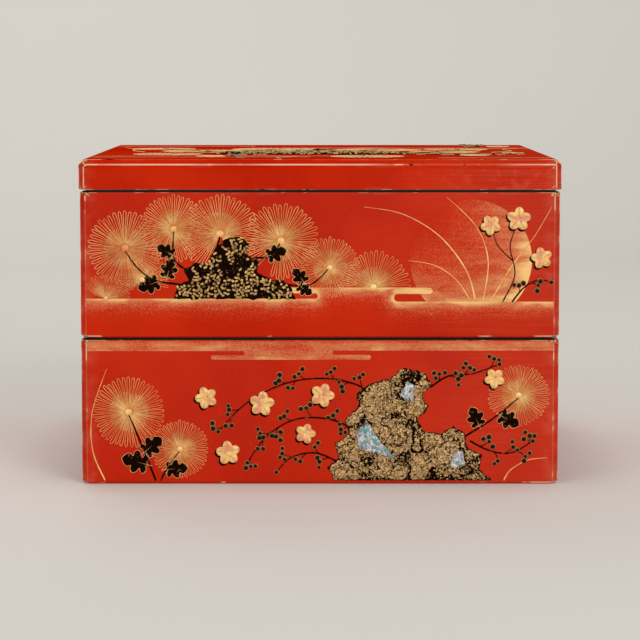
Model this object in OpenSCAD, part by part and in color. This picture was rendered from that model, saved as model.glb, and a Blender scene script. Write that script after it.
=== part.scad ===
// Two-tier stacking box of lacquered wood with a flush, lift-off lid.
// The boards are mitred at the corners, with thin keys let in across the mitres.
// Each tier carries an inner lip that the recess of the tier or lid above drops over.
// The recess ceiling rests on the lip, which leaves a fine open line between the outside faces.
// Z is up, the front faces -Y, and the origin is the middle of the footprint, on the ground.

/* [Overall] */
// Outside width of a tier, from left to right
tier_w = 197; // [120:0.5:300]
// Outside depth of a tier, from front to back
tier_d = 197; // [120:0.5:300]
// Height of the lower tier's outside walls
lower_h = 60; // [45:0.5:100]
// Height of the upper tier's outside walls
upper_h = 60; // [45:0.5:100]
// How far the lid stands out past the walls on each side
lid_proud = 0.5; // [0:0.1:1.5]

/* [Boards] */
// Thickness of the wall boards
wall_t = 6.5; // [5.4:0.1:9]
// Thickness of the floor boards
floor_t = 5; // [3:0.1:8]
// Thickness of the lid's top board over the opening
lid_panel_t = 5.4; // [4.4:0.1:8]
// Depth of the rabbet under the top board's edge, which takes the lid's rim
lid_rabbet = 1.5; // [0.5:0.1:2]

/* [Lips and fits] */
// Thickness of the lip boards
lip_t = 2.7; // [2:0.1:3.4]
// Height that a lip stands above its tier's rim
lip_stand = 8; // [5:0.1:12]
// Depth of the rabbet in the rim that holds the lip
lip_seat = 10; // [6:0.1:14]
// Clearance all round between a lip and the recess over it
lip_clear = 0.3; // [0.1:0.05:0.6]
// Open line between the two tiers
tier_gap = 0.8; // [0.3:0.1:2]
// Open line between the upper tier and the lid
lid_gap = 1; // [0.3:0.1:2]

/* [Edges] */
// Width of the flat on each upright corner, taken off either face
corner_flat = 2.2; // [0.5:0.1:3.5]
// Width of the bevel round the lid's top
lid_bevel = 2.1; // [0.5:0.1:2.8]
// Least upright edge kept under the bevel on a thin top board
bevel_land = 0.5; // [0.3:0.1:1]
// Rounding of the lid's lower outside edge
lid_ease = 0.6; // [0.2:0.1:1]
// Rounding of a tier's upper outside edge
rim_ease = 0.4; // [0.2:0.1:1]
// Rounding of a tier's lower outside edge
foot_ease = 1.6; // [0.2:0.1:2]
// Bevel that guides a lip into the recess above it
lead_in = 0.6; // [0.2:0.1:0.8]
// Rounding of the two top edges of a lip
lip_ease = 0.8; // [0.2:0.1:0.9]
// Width of the flat on each upright corner of a lip, above the rim
lip_corner = 1; // [0.3:0.1:1.5]
// Radius of the putty cove where a floor meets the walls
cove_r = 2; // [1:0.1:4]
// Thickness left at the two feather edges of the cove
cove_land = 0.15; // [0.05:0.05:0.3]

/* [Corner keys] */
// Thickness of a key let in across a mitre
key_t = 1.5; // [1:0.1:2.5]
// Keys one above the other at each corner of a tier
key_count = 2; // [1:1:3]
// Wood left between a wall key and the inside corner
key_cover = 2.6; // [1.5:0.1:4]
// Wood left between a lid key and the inside corner of the rim
rim_key_cover = 1.7; // [1:0.1:2]

/* [Hidden] */

// Turn about Z that brings the front board to each side
FRONT = 0;
RIGHT = 90;
BACK = 180;
LEFT = 270;

// Facets of the small rounded edges
$fn = 48;
// Small overrun that takes a cut clear past a face
over = 1;

// Size of the square that the lips stand in and the clear inside of a tier
lip_inset = wall_t - lip_t;
lip_w = tier_w - 2 * lip_inset;
lip_d = tier_d - 2 * lip_inset;
inner_w = tier_w - 2 * wall_t;
inner_d = tier_d - 2 * wall_t;

// What is left of a wall beside the recess, and the floor board that fills the rabbet above it
skirt_t = lip_inset - lip_clear;
recess_w = tier_w - 2 * skirt_t;
recess_d = tier_d - 2 * skirt_t;

// Depth of the recess under a tier and under the lid
tier_recess = lip_stand - tier_gap;
lid_recess = lip_stand - lid_gap;
lid_h = lid_recess + lid_panel_t;

// Lid outline, its rim boards and the edge of its top board
lid_w = tier_w + 2 * lid_proud;
lid_d = tier_d + 2 * lid_proud;
rim_t = skirt_t + lid_proud;
rim_h = lid_recess + lid_rabbet;
panel_edge_t = lid_panel_t - lid_rabbet;
panel_bevel = min(lid_bevel, panel_edge_t - bevel_land);

// Level at which each part stands
lower_z = 0;
upper_z = lower_z + lower_h + tier_gap;
lid_z = upper_z + upper_h + lid_gap;

// Length of a key along either face, from the sharp corner to where its kerf runs out
key_reach = 2 * wall_t - key_cover * sqrt(2);
rim_key_reach = 2 * rim_t - rim_key_cover * sqrt(2);

// Cutter that rounds a square corner of a section, placed at the corner and facing +X +Y
module ease_cut(r) {
    difference() {
        translate([-over, -over]) square(r + over);
        translate([r, r]) circle(r);
    }
}

// Cutter that bevels a square corner of a section
module bevel_cut(c) {
    polygon([[-over, -over], [c + over, -over], [-over, c + over]]);
}

// Outline of a box of w by d with its corner flats
module outline(w, d, flat) {
    x = w / 2;
    y = d / 2;
    polygon([
        [-x + flat, -y], [x - flat, -y], [x, -y + flat], [x, y - flat],
        [x - flat, y], [-x + flat, y], [-x, y - flat], [-x, -y + flat]
    ]);
}

// Plan of a mitred board along the front of a w by d frame, with its half of the corner flats
module mitred_plan(w, d, t, flat) {
    x = w / 2;
    y = d / 2;
    half = flat / 2;
    outer = flat > 0
        ? [[-x + half, -y + half], [-x + flat, -y], [x - flat, -y], [x - half, -y + half]]
        : [[-x, -y], [x, -y]];
    polygon(concat(outer, [[x - t, -y + t], [-x + t, -y + t]]));
}

// Board on one side of a w by d frame: its children are its section, with X inwards and Y upwards
module mitred_board(side, w, d, t, flat, z, h) {
    along = side % 180 == 0 ? w : d;
    away = side % 180 == 0 ? d : w;
    translate([0, 0, z]) rotate([0, 0, side]) intersection() {
        translate([0, -away / 2, 0])
            rotate([90, 0, 90]) linear_extrude(height = along, center = true) children();
        linear_extrude(height = h) mitred_plan(along, away, t, flat);
    }
}

// The same cut at all four corners of a w by d frame, drawn for the corner at +X -Y
module at_corners(w, d) {
    for (sx = [0, 1], sy = [0, 1])
        mirror([sx, 0, 0]) mirror([0, sy, 0]) translate([w / 2, -d / 2, 0]) children();
}

// Plan of a cut straight across a corner that runs out at reach along either face
module corner_cut(reach) {
    polygon([[over, -over], [over, reach + over], [-reach - over, -over]]);
}

// Saw kerf across a corner
module kerf(reach) {
    translate([0, 0, -key_t / 2]) linear_extrude(height = key_t) corner_cut(reach);
}

// Square bar turned on edge, which cuts a bevel when its middle lies on an arris
module arris_bar(length, bevel) {
    rotate([45, 0, 0]) cube([length, bevel * sqrt(2), bevel * sqrt(2)], center = true);
}

// Bevel across the end of each upright corner flat, which carries the eased edges round the corner
module flat_end_cuts(w, d, level, bevel) {
    translate([0, 0, level]) at_corners(w, d)
        translate([-corner_flat / 2, corner_flat / 2, 0])
            rotate([0, 0, 45]) arris_bar(4 * corner_flat, bevel);
}

// Middle height of key number i above the foot of a tier, spaced over the full-thickness wood
function key_level(i, h) =
    let (low = tier_recess + floor_t, high = h - lip_seat)
    low + (high - low) * (i + 0.5) / key_count;

module tier_kerfs(z, h) {
    for (i = [0:key_count - 1])
        translate([0, 0, z + key_level(i, h)]) at_corners(tier_w, tier_d) kerf(key_reach);
}

module lid_kerfs() {
    translate([0, 0, lid_z + rim_h / 2]) at_corners(lid_w, lid_d) kerf(rim_key_reach);
}

// Section of a wall: a lip rabbet above, and below a rabbet for the floor that runs on as the recess
module wall_section(h) {
    difference() {
        square([wall_t, h]);
        translate([skirt_t, -over]) square([wall_t, tier_recess + floor_t + over]);
        translate([lip_inset, h - lip_seat]) square([wall_t, lip_seat + over]);
        ease_cut(foot_ease);
        translate([0, h]) mirror([0, 1]) ease_cut(rim_ease);
        translate([skirt_t, 0]) mirror([1, 0]) bevel_cut(lead_in);
    }
}

module tier_wall(side, z, h) {
    color("firebrick") difference() {
        mitred_board(side, tier_w, tier_d, wall_t, corner_flat, z, h) wall_section(h);
        tier_kerfs(z, h);
        flat_end_cuts(tier_w, tier_d, z, foot_ease);
        flat_end_cuts(tier_w, tier_d, z + h, rim_ease);
    }
}

// Floor board, let into the wall rabbets
module tier_floor(z) {
    color("dimgray")
        translate([-recess_w / 2, -recess_d / 2, z + tier_recess]) cube([recess_w, recess_d, floor_t]);
}

// Putty cove laid round the floor against the walls, with its feather edges cut back to a land
module tier_cove(z) {
    color("darkslategray") union() {
        for (side = [FRONT, RIGHT, BACK, LEFT])
            mitred_board(side, inner_w, inner_d, cove_r, 0, z + tier_recess + floor_t, cove_r)
                difference() {
                    square([cove_r, cove_r]);
                    translate([cove_r + cove_land, cove_r + cove_land]) circle(cove_r);
                }
    }
}

// Lip board: its seat is in the wall's rabbet, and the rest stands above the rim
module tier_lip(side, z, h) {
    lip_h = lip_seat + lip_stand;
    color("darkslategray") difference() {
        mitred_board(side, lip_w, lip_d, lip_t, 0, z + h - lip_seat, lip_h)
            difference() {
                square([lip_t, lip_h]);
                translate([0, lip_h]) mirror([0, 1]) ease_cut(lip_ease);
                translate([lip_t, lip_h]) rotate(180) ease_cut(lip_ease);
            }
        translate([0, 0, z + h]) at_corners(lip_w, lip_d)
            linear_extrude(height = lip_stand + over) corner_cut(lip_corner);
    }
}

// Keys are trimmed flush with the outside faces
module tier_keys(z, h) {
    color("burlywood") intersection() {
        tier_kerfs(z, h);
        translate([0, 0, z]) linear_extrude(height = h) outline(tier_w, tier_d, corner_flat);
    }
}

module rim_section() {
    difference() {
        square([rim_t, rim_h]);
        ease_cut(lid_ease);
        translate([rim_t, 0]) mirror([1, 0]) bevel_cut(lead_in);
    }
}

module rim_board(side) {
    color("firebrick") difference() {
        mitred_board(side, lid_w, lid_d, rim_t, corner_flat, lid_z, rim_h) rim_section();
        lid_kerfs();
        flat_end_cuts(lid_w, lid_d, lid_z, lid_ease);
    }
}

// Top board: rabbeted underneath over the rim, and beveled all round above
module lid_panel() {
    top = lid_z + lid_h;
    bar = max(lid_w, lid_d) + 2 * over;
    color("firebrick") difference() {
        union() {
            translate([0, 0, lid_z + rim_h])
                linear_extrude(height = panel_edge_t) outline(lid_w, lid_d, corner_flat);
            translate([-recess_w / 2, -recess_d / 2, lid_z + lid_recess])
                cube([recess_w, recess_d, lid_panel_t / 2]);
        }
        for (s = [-1, 1]) {
            translate([0, s * lid_d / 2, top]) arris_bar(bar, panel_bevel);
            translate([s * lid_w / 2, 0, top]) rotate([0, 0, 90]) arris_bar(bar, panel_bevel);
        }
        flat_end_cuts(lid_w, lid_d, top, panel_bevel);
    }
}

module lid_rim_front() rim_board(FRONT);
module lid_rim_back() rim_board(BACK);
module lid_rim_left() rim_board(LEFT);
module lid_rim_right() rim_board(RIGHT);

module lid_corner_keys() {
    color("burlywood") intersection() {
        lid_kerfs();
        translate([0, 0, lid_z]) linear_extrude(height = rim_h) outline(lid_w, lid_d, corner_flat);
    }
}

module upper_front_wall() tier_wall(FRONT, upper_z, upper_h);
module upper_back_wall() tier_wall(BACK, upper_z, upper_h);
module upper_left_wall() tier_wall(LEFT, upper_z, upper_h);
module upper_right_wall() tier_wall(RIGHT, upper_z, upper_h);
module upper_floor() tier_floor(upper_z);
module upper_cove() tier_cove(upper_z);
module upper_lip_front() tier_lip(FRONT, upper_z, upper_h);
module upper_lip_back() tier_lip(BACK, upper_z, upper_h);
module upper_lip_left() tier_lip(LEFT, upper_z, upper_h);
module upper_lip_right() tier_lip(RIGHT, upper_z, upper_h);
module upper_corner_keys() tier_keys(upper_z, upper_h);

module lower_front_wall() tier_wall(FRONT, lower_z, lower_h);
module lower_back_wall() tier_wall(BACK, lower_z, lower_h);
module lower_left_wall() tier_wall(LEFT, lower_z, lower_h);
module lower_right_wall() tier_wall(RIGHT, lower_z, lower_h);
module lower_floor() tier_floor(lower_z);
module lower_cove() tier_cove(lower_z);
module lower_lip_front() tier_lip(FRONT, lower_z, lower_h);
module lower_lip_back() tier_lip(BACK, lower_z, lower_h);
module lower_lip_left() tier_lip(LEFT, lower_z, lower_h);
module lower_lip_right() tier_lip(RIGHT, lower_z, lower_h);
module lower_corner_keys() tier_keys(lower_z, lower_h);

lid_panel();
lid_rim_front();
lid_rim_back();
lid_rim_left();
lid_rim_right();
lid_corner_keys();
upper_front_wall();
upper_back_wall();
upper_left_wall();
upper_right_wall();
upper_floor();
upper_cove();
upper_lip_front();
upper_lip_back();
upper_lip_left();
upper_lip_right();
upper_corner_keys();
lower_front_wall();
lower_back_wall();
lower_left_wall();
lower_right_wall();
lower_floor();
lower_cove();
lower_lip_front();
lower_lip_back();
lower_lip_left();
lower_lip_right();
lower_corner_keys();
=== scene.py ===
"""Lacquer finishes and raised decoration of a two-tier stacking box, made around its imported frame."""
import math
import random

import bpy
import numpy as np
from bpy.props import FloatProperty, FloatVectorProperty, IntProperty, PointerProperty
from mathutils import Matrix, Vector, noise
from mathutils.geometry import delaunay_2d_cdt


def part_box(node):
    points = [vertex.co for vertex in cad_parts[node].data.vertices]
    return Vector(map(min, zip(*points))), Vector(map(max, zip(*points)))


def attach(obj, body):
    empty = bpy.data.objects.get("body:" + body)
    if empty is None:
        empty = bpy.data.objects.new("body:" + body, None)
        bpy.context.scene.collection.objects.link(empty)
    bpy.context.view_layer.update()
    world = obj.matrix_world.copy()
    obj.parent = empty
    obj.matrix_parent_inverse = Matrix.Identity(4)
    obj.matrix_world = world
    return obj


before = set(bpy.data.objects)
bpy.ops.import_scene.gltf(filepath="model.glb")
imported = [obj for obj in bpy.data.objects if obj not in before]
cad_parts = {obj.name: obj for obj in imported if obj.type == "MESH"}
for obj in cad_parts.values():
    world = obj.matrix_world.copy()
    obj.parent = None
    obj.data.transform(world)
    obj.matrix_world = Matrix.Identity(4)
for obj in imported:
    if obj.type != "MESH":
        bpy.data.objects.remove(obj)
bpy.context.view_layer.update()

bl_info = {
    "name": "Lacquer Box Decoration",
    "version": (1, 0, 0),
    "blender": (4, 5, 0),
    "location": "3D View > Sidebar > Lacquer Box",
    "description": "Finishes a stacking lacquer box with red and black lacquer, gold powder and low relief",
    "category": "Object",
}

MM = 0.001
ACROSS = Vector((1, 0, 0))
BACKWARD = Vector((0, 1, 0))
UPWARD = Vector((0, 0, 1))

# Sizes of the boards in millimetres: the flat on the upright corners, the lid's bevel, the thickness of its
# board, and the height of the rounded edge at a tier's foot
CORNER_FLAT = 2.2
LID_BEVEL = 2.1
LID_BOARD = 5.4
FOOT_EDGE = 0.7
# How far the red goes in from the outside before the black starts
RED_REACH = 3.2
# Depth that decoration is sunk into its ground, and the thickness of films of powder
SUNK = 0.03
HAZE_FILM = 0.06
MOON_FILM = 0.04
# Lowest level of decoration on a tier, over its rounded foot, and how far it keeps below the rim
FOOT = 1.5
RIM = 0.6


def srgb(red, green, blue):
    """Linear colour of an sRGB one given from 0 to 255."""
    def linear(value):
        share = value / 255
        return share / 12.92 if share <= 0.04045 else ((share + 0.055) / 1.055) ** 2.4
    return (linear(red), linear(green), linear(blue))


def span(node):
    """Lowest and highest corner of a CAD node, in millimetres."""
    low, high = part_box(node)
    return low / MM, high / MM


class Panel:
    """One decorated outside face: u runs across it, v up it and w out of it, in millimetres."""

    def __init__(self, body, origin, across, up, half, low, high):
        self.body = body
        self.origin = origin
        self.across = across
        self.up = up
        self.out = across.cross(up)
        self.half = half
        self.low = low
        self.high = high
        self.facing = Matrix((across, up, self.out)).transposed().to_quaternion()

    def place(self, u, v, w):
        """Point in the row frame, in metres."""
        return (self.origin + self.across * u + self.up * v + self.out * w) * MM

    def holds(self, u, v, margin):
        """Whether a place is on the panel, at least margin inside its edges."""
        return abs(u) < self.half - margin and self.low + margin < v < self.high - margin


def make_panels():
    """The four outside faces of each tier, and the top of the lid."""
    panels = {}
    for word in ("lower", "upper"):
        low, high = span(f"{word}_front_wall")
        for side, across in (
            ("front", ACROSS), ("right", BACKWARD), ("back", -ACROSS), ("left", -BACKWARD),
        ):
            out = across.cross(UPWARD)
            origin = out * -low.y + UPWARD * low.z
            panels[f"{word}_{side}"] = Panel(
                f"{word}_tier", origin, across, UPWARD, -low.y - CORNER_FLAT, FOOT, high.z - low.z - RIM
            )
    low, high = span("lid_panel")
    half = high.x - LID_BEVEL
    panels["lid_top"] = Panel("lid", UPWARD * high.z, ACROSS, BACKWARD, half, -half, half)
    return panels


PANELS = make_panels()

# Sockets read by number, because their node repeats their names: of a colour mix and of a random number
MIX_FROM, MIX_TO, MIX_RESULT = 6, 7, 2
CHANCE_LOW, CHANCE_HIGH, CHANCE_RESULT = 2, 3, 1


class Number:
    """A node's output that adds Math nodes as it is worked with."""

    def __init__(self, maker, socket):
        self.maker = maker
        self.socket = socket

    def out(self, name):
        """Another output of the same node."""
        return Number(self.maker, self.socket.node.outputs[name])

    def __add__(self, other):
        return self.maker.math("ADD", self, other)

    def __radd__(self, other):
        return self.maker.math("ADD", other, self)

    def __sub__(self, other):
        return self.maker.math("SUBTRACT", self, other)

    def __rsub__(self, other):
        return self.maker.math("SUBTRACT", other, self)

    def __mul__(self, other):
        return self.maker.math("MULTIPLY", self, other)

    def __rmul__(self, other):
        return self.maker.math("MULTIPLY", other, self)

    def __truediv__(self, other):
        return self.maker.math("DIVIDE", self, other)

    def __rtruediv__(self, other):
        return self.maker.math("DIVIDE", other, self)

    def __pow__(self, other):
        return self.maker.math("POWER", self, other)

    def __rpow__(self, other):
        return self.maker.math("POWER", other, self)

    def __abs__(self):
        return self.maker.math("ABSOLUTE", self)

    def __lt__(self, other):
        return self.maker.math("LESS_THAN", self, other)

    def __gt__(self, other):
        return self.maker.math("GREATER_THAN", self, other)


class Maker:
    """Adds nodes to one tree."""

    def __init__(self, tree):
        self.tree = tree

    def node(self, kind, settings=None, sockets=None):
        """A node of that type, with its settings and then the values or links of its sockets."""
        made = self.tree.nodes.new(kind)
        for name, value in (settings or {}).items():
            setattr(made, name, value)
        for name, value in (sockets or {}).items():
            if isinstance(value, Number):
                self.tree.links.new(value.socket, made.inputs[name])
            else:
                made.inputs[name].default_value = value
        return Number(self, made.outputs[0]) if made.outputs else None

    def math(self, operation, *values):
        """A Math node on the values, in their order."""
        return self.node("ShaderNodeMath", {"operation": operation}, dict(enumerate(values)))

    def least(self, one, other):
        """The lower of two values."""
        return self.math("MINIMUM", one, other)

    def most(self, one, other):
        """The higher of two values."""
        return self.math("MAXIMUM", one, other)

    def smooth(self, low, high, value):
        """0 up to low, 1 from high, and an eased rise between them."""
        sockets = {"Value": value, "From Min": low, "From Max": high}
        return self.node("ShaderNodeMapRange", {"interpolation_type": "SMOOTHSTEP"}, sockets)

    def fall(self, low, high, value):
        """1 up to low, 0 from high, and an eased fall between them."""
        return 1.0 - self.smooth(low, high, value)


class Finish(Maker):
    """A material whose lengths are millimetres of the object's own coordinates."""

    def __init__(self, name):
        self.material = bpy.data.materials.new(name)
        self.material.use_nodes = True
        super().__init__(self.material.node_tree)
        self.tree.nodes.clear()
        metres = self.node("ShaderNodeTexCoord").out("Object")
        self.place = self.node("ShaderNodeVectorMath", {"operation": "SCALE"}, {0: metres, "Scale": 1 / MM})
        parts = self.node("ShaderNodeSeparateXYZ", {}, {0: self.place})
        self.x, self.y, self.z = (parts.out(axis) for axis in "XYZ")

    def stretched(self, stretch):
        """The place with each axis multiplied."""
        return self.node("ShaderNodeVectorMath", {"operation": "MULTIPLY"}, {0: self.place, 1: stretch})

    def noise(self, size, detail=2.0, stretch=None, distortion=0.0):
        """Cloudy value about one half, whose blots are about size wide."""
        place = self.stretched(stretch) if stretch else self.place
        sockets = {"Vector": place, "Scale": 1 / size, "Detail": detail, "Distortion": distortion}
        return self.node("ShaderNodeTexNoise", {}, sockets)

    def grains(self, size):
        """Even random value of each powder grain."""
        cells = self.node("ShaderNodeTexVoronoi", {}, {"Vector": self.place, "Scale": 1 / size})
        return self.node("ShaderNodeSeparateColor", {}, {0: cells.out("Color")})

    def cracks(self, place, size):
        """Distance from the cracks between cells about size wide, as a share of size."""
        sockets = {"Vector": place, "Scale": 1 / size}
        return self.node("ShaderNodeTexVoronoi", {"feature": "DISTANCE_TO_EDGE"}, sockets)

    def mark(self, name):
        """The mesh's own value of that name."""
        return self.node("ShaderNodeAttribute", {"attribute_name": name}).out("Fac")

    def mix(self, factor, colour, other):
        """From one colour to the other as the factor goes from 0 to 1."""
        sockets = {0: factor, MIX_FROM: self.full(colour), MIX_TO: self.full(other)}
        made = self.node("ShaderNodeMix", {"data_type": "RGBA"}, sockets)
        return Number(self, made.socket.node.outputs[MIX_RESULT])

    def full(self, colour):
        """The colour with its alpha, or its link as it is."""
        return colour if isinstance(colour, Number) else (*colour[:3], 1.0)

    def bump(self, height, depth):
        """Normal of a surface whose height goes from 0 to depth millimetres."""
        return self.node("ShaderNodeBump", {}, {"Height": height, "Distance": depth * MM})

    def surface(self, **values):
        """Ends the material, with the shader's sockets named by keyword."""
        sockets = {name.replace("_", " ").replace("Ior", "IOR"): value for name, value in values.items()}
        shader = self.node("ShaderNodeBsdfPrincipled", {}, sockets)
        self.node("ShaderNodeOutputMaterial", {}, {"Surface": shader})
        return self.material


# Added to the distance from a line, so that faces it isn't on read as far from it
FAR_OFF = 9.0
# How much of the bloom's colour the painted sheen of the polished streaks takes
SHEEN_STRENGTH = 0.2


def red_ground(f, settings):
    """Clouded red, how mottled it is, and a painted sheen in its polished streaks, stronger towards +x."""
    mottle = f.noise(4.5, 4.0, distortion=0.4)
    streak = f.noise(1.0, 3.0, (0.022, 0.022, 1.7))
    colour = f.mix(f.smooth(0.32, 0.68, f.noise(46.0, 2.0)), settings.deep_red, settings.red)
    colour = f.mix(f.smooth(0.5, 0.85, mottle) * 0.3, colour, settings.warm_red)
    # Painted sheen: streaks of polish that grow stronger towards +x, the right of the front
    painted_sheen = f.smooth(0.0, 96.0, f.x) * (0.3 + 0.7 * f.smooth(0.46, 0.7, streak))
    return colour, mottle, painted_sheen


def red_lacquer(settings, name, foot, rim, half, kind):
    """Red lacquer outside, with rubbed arrises that carry a painted highlight, a painted sheen in polished
    streaks, and black on what faces inwards.
    """
    f = Finish(name)
    # Distances from the upright corners, the foot and the rim
    wide = abs(f.x)
    deep = abs(f.y)
    outer = f.most(wide, deep)
    arris = abs(f.least(wide, deep) - (half - CORNER_FLAT))
    above = f.z - foot
    below = rim - f.z

    # What is red, the edges that wear lies along, and where the clear coat shines
    outside = f.smooth(half - RED_REACH - 0.1, half - RED_REACH + 0.1, outer)
    if kind == "tier":
        outside = outside * f.smooth(0.02, 0.08, above) * f.smooth(0.05, 0.15, below)
        ends = below
        foot_line = f.fall(0.15, 0.45, abs(above - FOOT_EDGE))
        coat = f.smooth(half - 0.45, half - 0.05, outer) * 0.15
    else:
        outside = f.most(outside, f.smooth(rim - LID_BOARD + 0.1, rim - LID_BOARD + 0.2, f.z))
        lower_arris = abs(below - LID_BEVEL) + (outer < half - 0.4) * FAR_OFF
        upper_arris = abs(outer - (half - LID_BEVEL)) + below
        ends = f.least(above, f.least(lower_arris, upper_arris))
        coat = f.fall(0.2, 0.5, lower_arris) * 0.1

    # Painted sheen in streaks of polish, and a dull bloom by the edges that also paints a pink sheen there
    colour, mottle, painted_sheen = red_ground(f, settings)
    # The lid's rim takes more painted sheen, mottled, towards +x
    if kind == "rim":
        painted_sheen = painted_sheen * 1.4 + f.smooth(20.0, 90.0, f.x) * f.smooth(0.45, 0.7, mottle) * 0.9
    colour = f.mix(painted_sheen * SHEEN_STRENGTH, colour, settings.bloom_and_sheen)
    dull_and_sheen = f.fall(0.4, 6.5, arris) * f.smooth(0.38, 0.66, f.noise(7.0, 3.0))
    dull_and_sheen = f.most(dull_and_sheen, f.fall(0.2, 1.6, ends) * f.smooth(0.48, 0.7, f.noise(13.0, 3.0)))
    colour = f.mix(dull_and_sheen * 0.3, colour, settings.bloom_and_sheen)

    # Arrises rubbed down to the ground, most of all near the corners, with a pale painted highlight mixed
    # into the rubbed lines
    corner = f.most(arris, ends)
    near_corner = f.fall(2.0, 13.0, corner)
    line = f.fall(0.1, 0.4, f.least(arris, ends))
    rubbed = f.smooth(0.56, 0.68, f.noise(7.0, 4.0) + near_corner * 0.2)
    wear_and_highlight = line * (rubbed * 0.85 + 0.12)
    if kind == "tier":
        foot_corner = f.fall(2.0, 12.0, arris)
        foot_worn = f.noise(9.0, 4.0) + foot_corner * 0.25 + f.smooth(20.0, 95.0, f.x) * 0.06
        wear_and_highlight = f.most(wear_and_highlight, foot_line * f.smooth(0.64, 0.74, foot_worn) * 0.9)
    colour = f.mix(wear_and_highlight, colour, f.mix(f.noise(3.0, 2.0), settings.worn_edge, settings.pale_highlight))
    # Painted highlight: a pale line along the lower arris of the lid's bevel, strongest a little left of
    # the middle
    if kind == "panel":
        highlight_drift = f.noise(60.0, 2.0) - abs(f.x + 8.0) * 0.0034
        painted_highlight = f.fall(0.2, 0.4, lower_arris) * f.smooth(0.22, 0.42, highlight_drift)
        colour = f.mix(painted_highlight * 0.85, colour, settings.pale_highlight)

    # Chips at the corners and nicks along the edges
    chip = f.fall(0.7, 2.1, corner) * f.smooth(0.47, 0.53, f.noise(1.5, 4.0))
    chipped = f.mix(f.smooth(0.42, 0.5, f.noise(0.9)), settings.chip, settings.worn_edge)
    colour = f.mix(chip, colour, chipped)
    nick = f.fall(0.2, 0.5, ends) * f.smooth(0.65, 0.68, f.noise(6.0, 5.0))
    colour = f.mix(nick, colour, settings.chip)
    colour = f.mix(outside, settings.black, colour)

    # Gloss, and the unevenness of lacquer laid by hand
    scratch = f.noise(1.0, 4.0, (0.05, 0.05, 3.0))
    rough = 0.15 + dull_and_sheen * 0.16 + wear_and_highlight * 0.3 + f.smooth(0.45, 0.75, scratch) * 0.08 + painted_sheen * 0.1
    hand = f.noise(14.0, 2.0) + f.noise(1.0, 2.0, (0.04, 0.04, 0.9)) * 0.25 - chip * 0.8
    level = 0.0 if kind == "panel" else settings.gloss
    return f.surface(
        Base_Color=colour, Roughness=rough, Specular_Ior_Level=level,
        Normal=f.bump(hand, 0.05), Coat_Weight=coat, Coat_Roughness=0.08,
    )


def black_lacquer(settings, name):
    """Black lacquer of the lips, floors and insides."""
    f = Finish(name)
    colour = f.mix(f.smooth(0.3, 0.7, f.noise(30.0)), settings.black, settings.brown_black)
    rubbed = f.smooth(0.56, 0.74, f.noise(11.0, 4.0))
    scuff = f.smooth(0.62, 0.68, f.noise(1.0, 3.0, (0.05, 0.05, 2.2))) * rubbed
    colour = f.mix(rubbed * 0.35 + scuff * 0.3, colour, settings.rubbed_black)
    rough = 0.16 + f.smooth(0.4, 0.8, f.noise(6.0, 4.0)) * 0.12 + rubbed * 0.1
    return f.surface(
        Base_Color=colour, Roughness=rough, Specular_Ior_Level=0.4, Normal=f.bump(f.noise(16.0), 0.04),
    )


def powder(settings, name, level):
    """Gold powder sprinkled on the red ground, as dense as the mesh's own mark says."""
    f = Finish(name)
    dense = f.mark("dense")
    streak = (f.noise(1.0, 4.0, (0.03, 0.03, 0.7)) - 0.5) * f.smooth(0.05, 0.4, dense)
    cloud = (f.noise(1.0, 4.0, (0.06, 0.06, 0.2), distortion=0.8) - 0.5) * dense
    share = dense + streak * 0.5 + cloud * 1.5
    size = settings.grain / MM
    grain = f.grains(size) * 0.55 + f.grains(size * 1.7) * 0.1
    gold = f.smooth(-0.12, 0.4, share - grain) * f.smooth(0.0, 0.08, share)
    tone = f.mix(f.smooth(0.55, 1.1, share), settings.powder_gold, settings.pale_gold)
    # Red ground under the powder, with the same painted sheen as the lacquer
    ground, _, painted_sheen = red_ground(f, settings)
    ground = f.mix(painted_sheen * SHEEN_STRENGTH, ground, settings.bloom_and_sheen)
    return f.surface(
        Base_Color=f.mix(gold * 0.94, ground, tone), Metallic=gold * 0.3, Roughness=0.24 + gold * 0.24,
        Specular_Ior_Level=level, Normal=f.bump(gold, 0.02),
    )


def gold_lines(settings, name):
    """Gold drawn in fine raised lines, rubbed to red here and there."""
    f = Finish(name)
    tone = f.mix(f.smooth(0.35, 0.65, f.noise(5.0)), settings.gold, settings.pale_gold)
    worn = f.smooth(0.5, 0.72, f.noise(13.0, 3.0)) * 0.55
    grain = f.grains(0.2)
    return f.surface(
        Base_Color=f.mix(worn, tone, settings.worn_gold), Metallic=0.45 - worn * 0.3,
        Roughness=0.38 + grain * 0.12, Normal=f.bump(grain, 0.02),
    )


def blossom_gold(settings, name):
    """Pale gold petals with drawn veins, dark stamens, and pink rubbed over one side."""
    f = Finish(name)
    along = f.mark("along")
    petal = f.mix(f.smooth(0.35, 0.7, f.noise(1.6, 3.0)), settings.petal_gold, settings.petal_pale)
    blush = f.smooth(0.47, 0.6, f.noise(3.4, 3.0)) * 0.8
    petal = f.mix(blush, petal, settings.petal_pink)
    vein = f.fall(0.05, 0.2, f.mark("vein")) * f.smooth(0.12, 0.25, along)
    petal = f.mix(vein * 0.55, petal, settings.old_gold)
    edge = f.smooth(0.86, 0.97, along)
    petal = f.mix(edge * 0.6, petal, settings.pale_gold)
    dots = f.node("ShaderNodeTexVoronoi", {}, {"Vector": f.place, "Scale": 1 / 0.62})
    stamen = f.fall(0.2, 0.34, dots) * f.fall(0.3, 0.42, along)
    petal = f.mix(stamen * 0.9, petal, settings.relief_black)
    return f.surface(
        Base_Color=petal, Metallic=0.25, Roughness=0.44 + f.grains(0.18) * 0.12,
        Normal=f.bump(f.grains(0.25), 0.02),
    )


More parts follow.
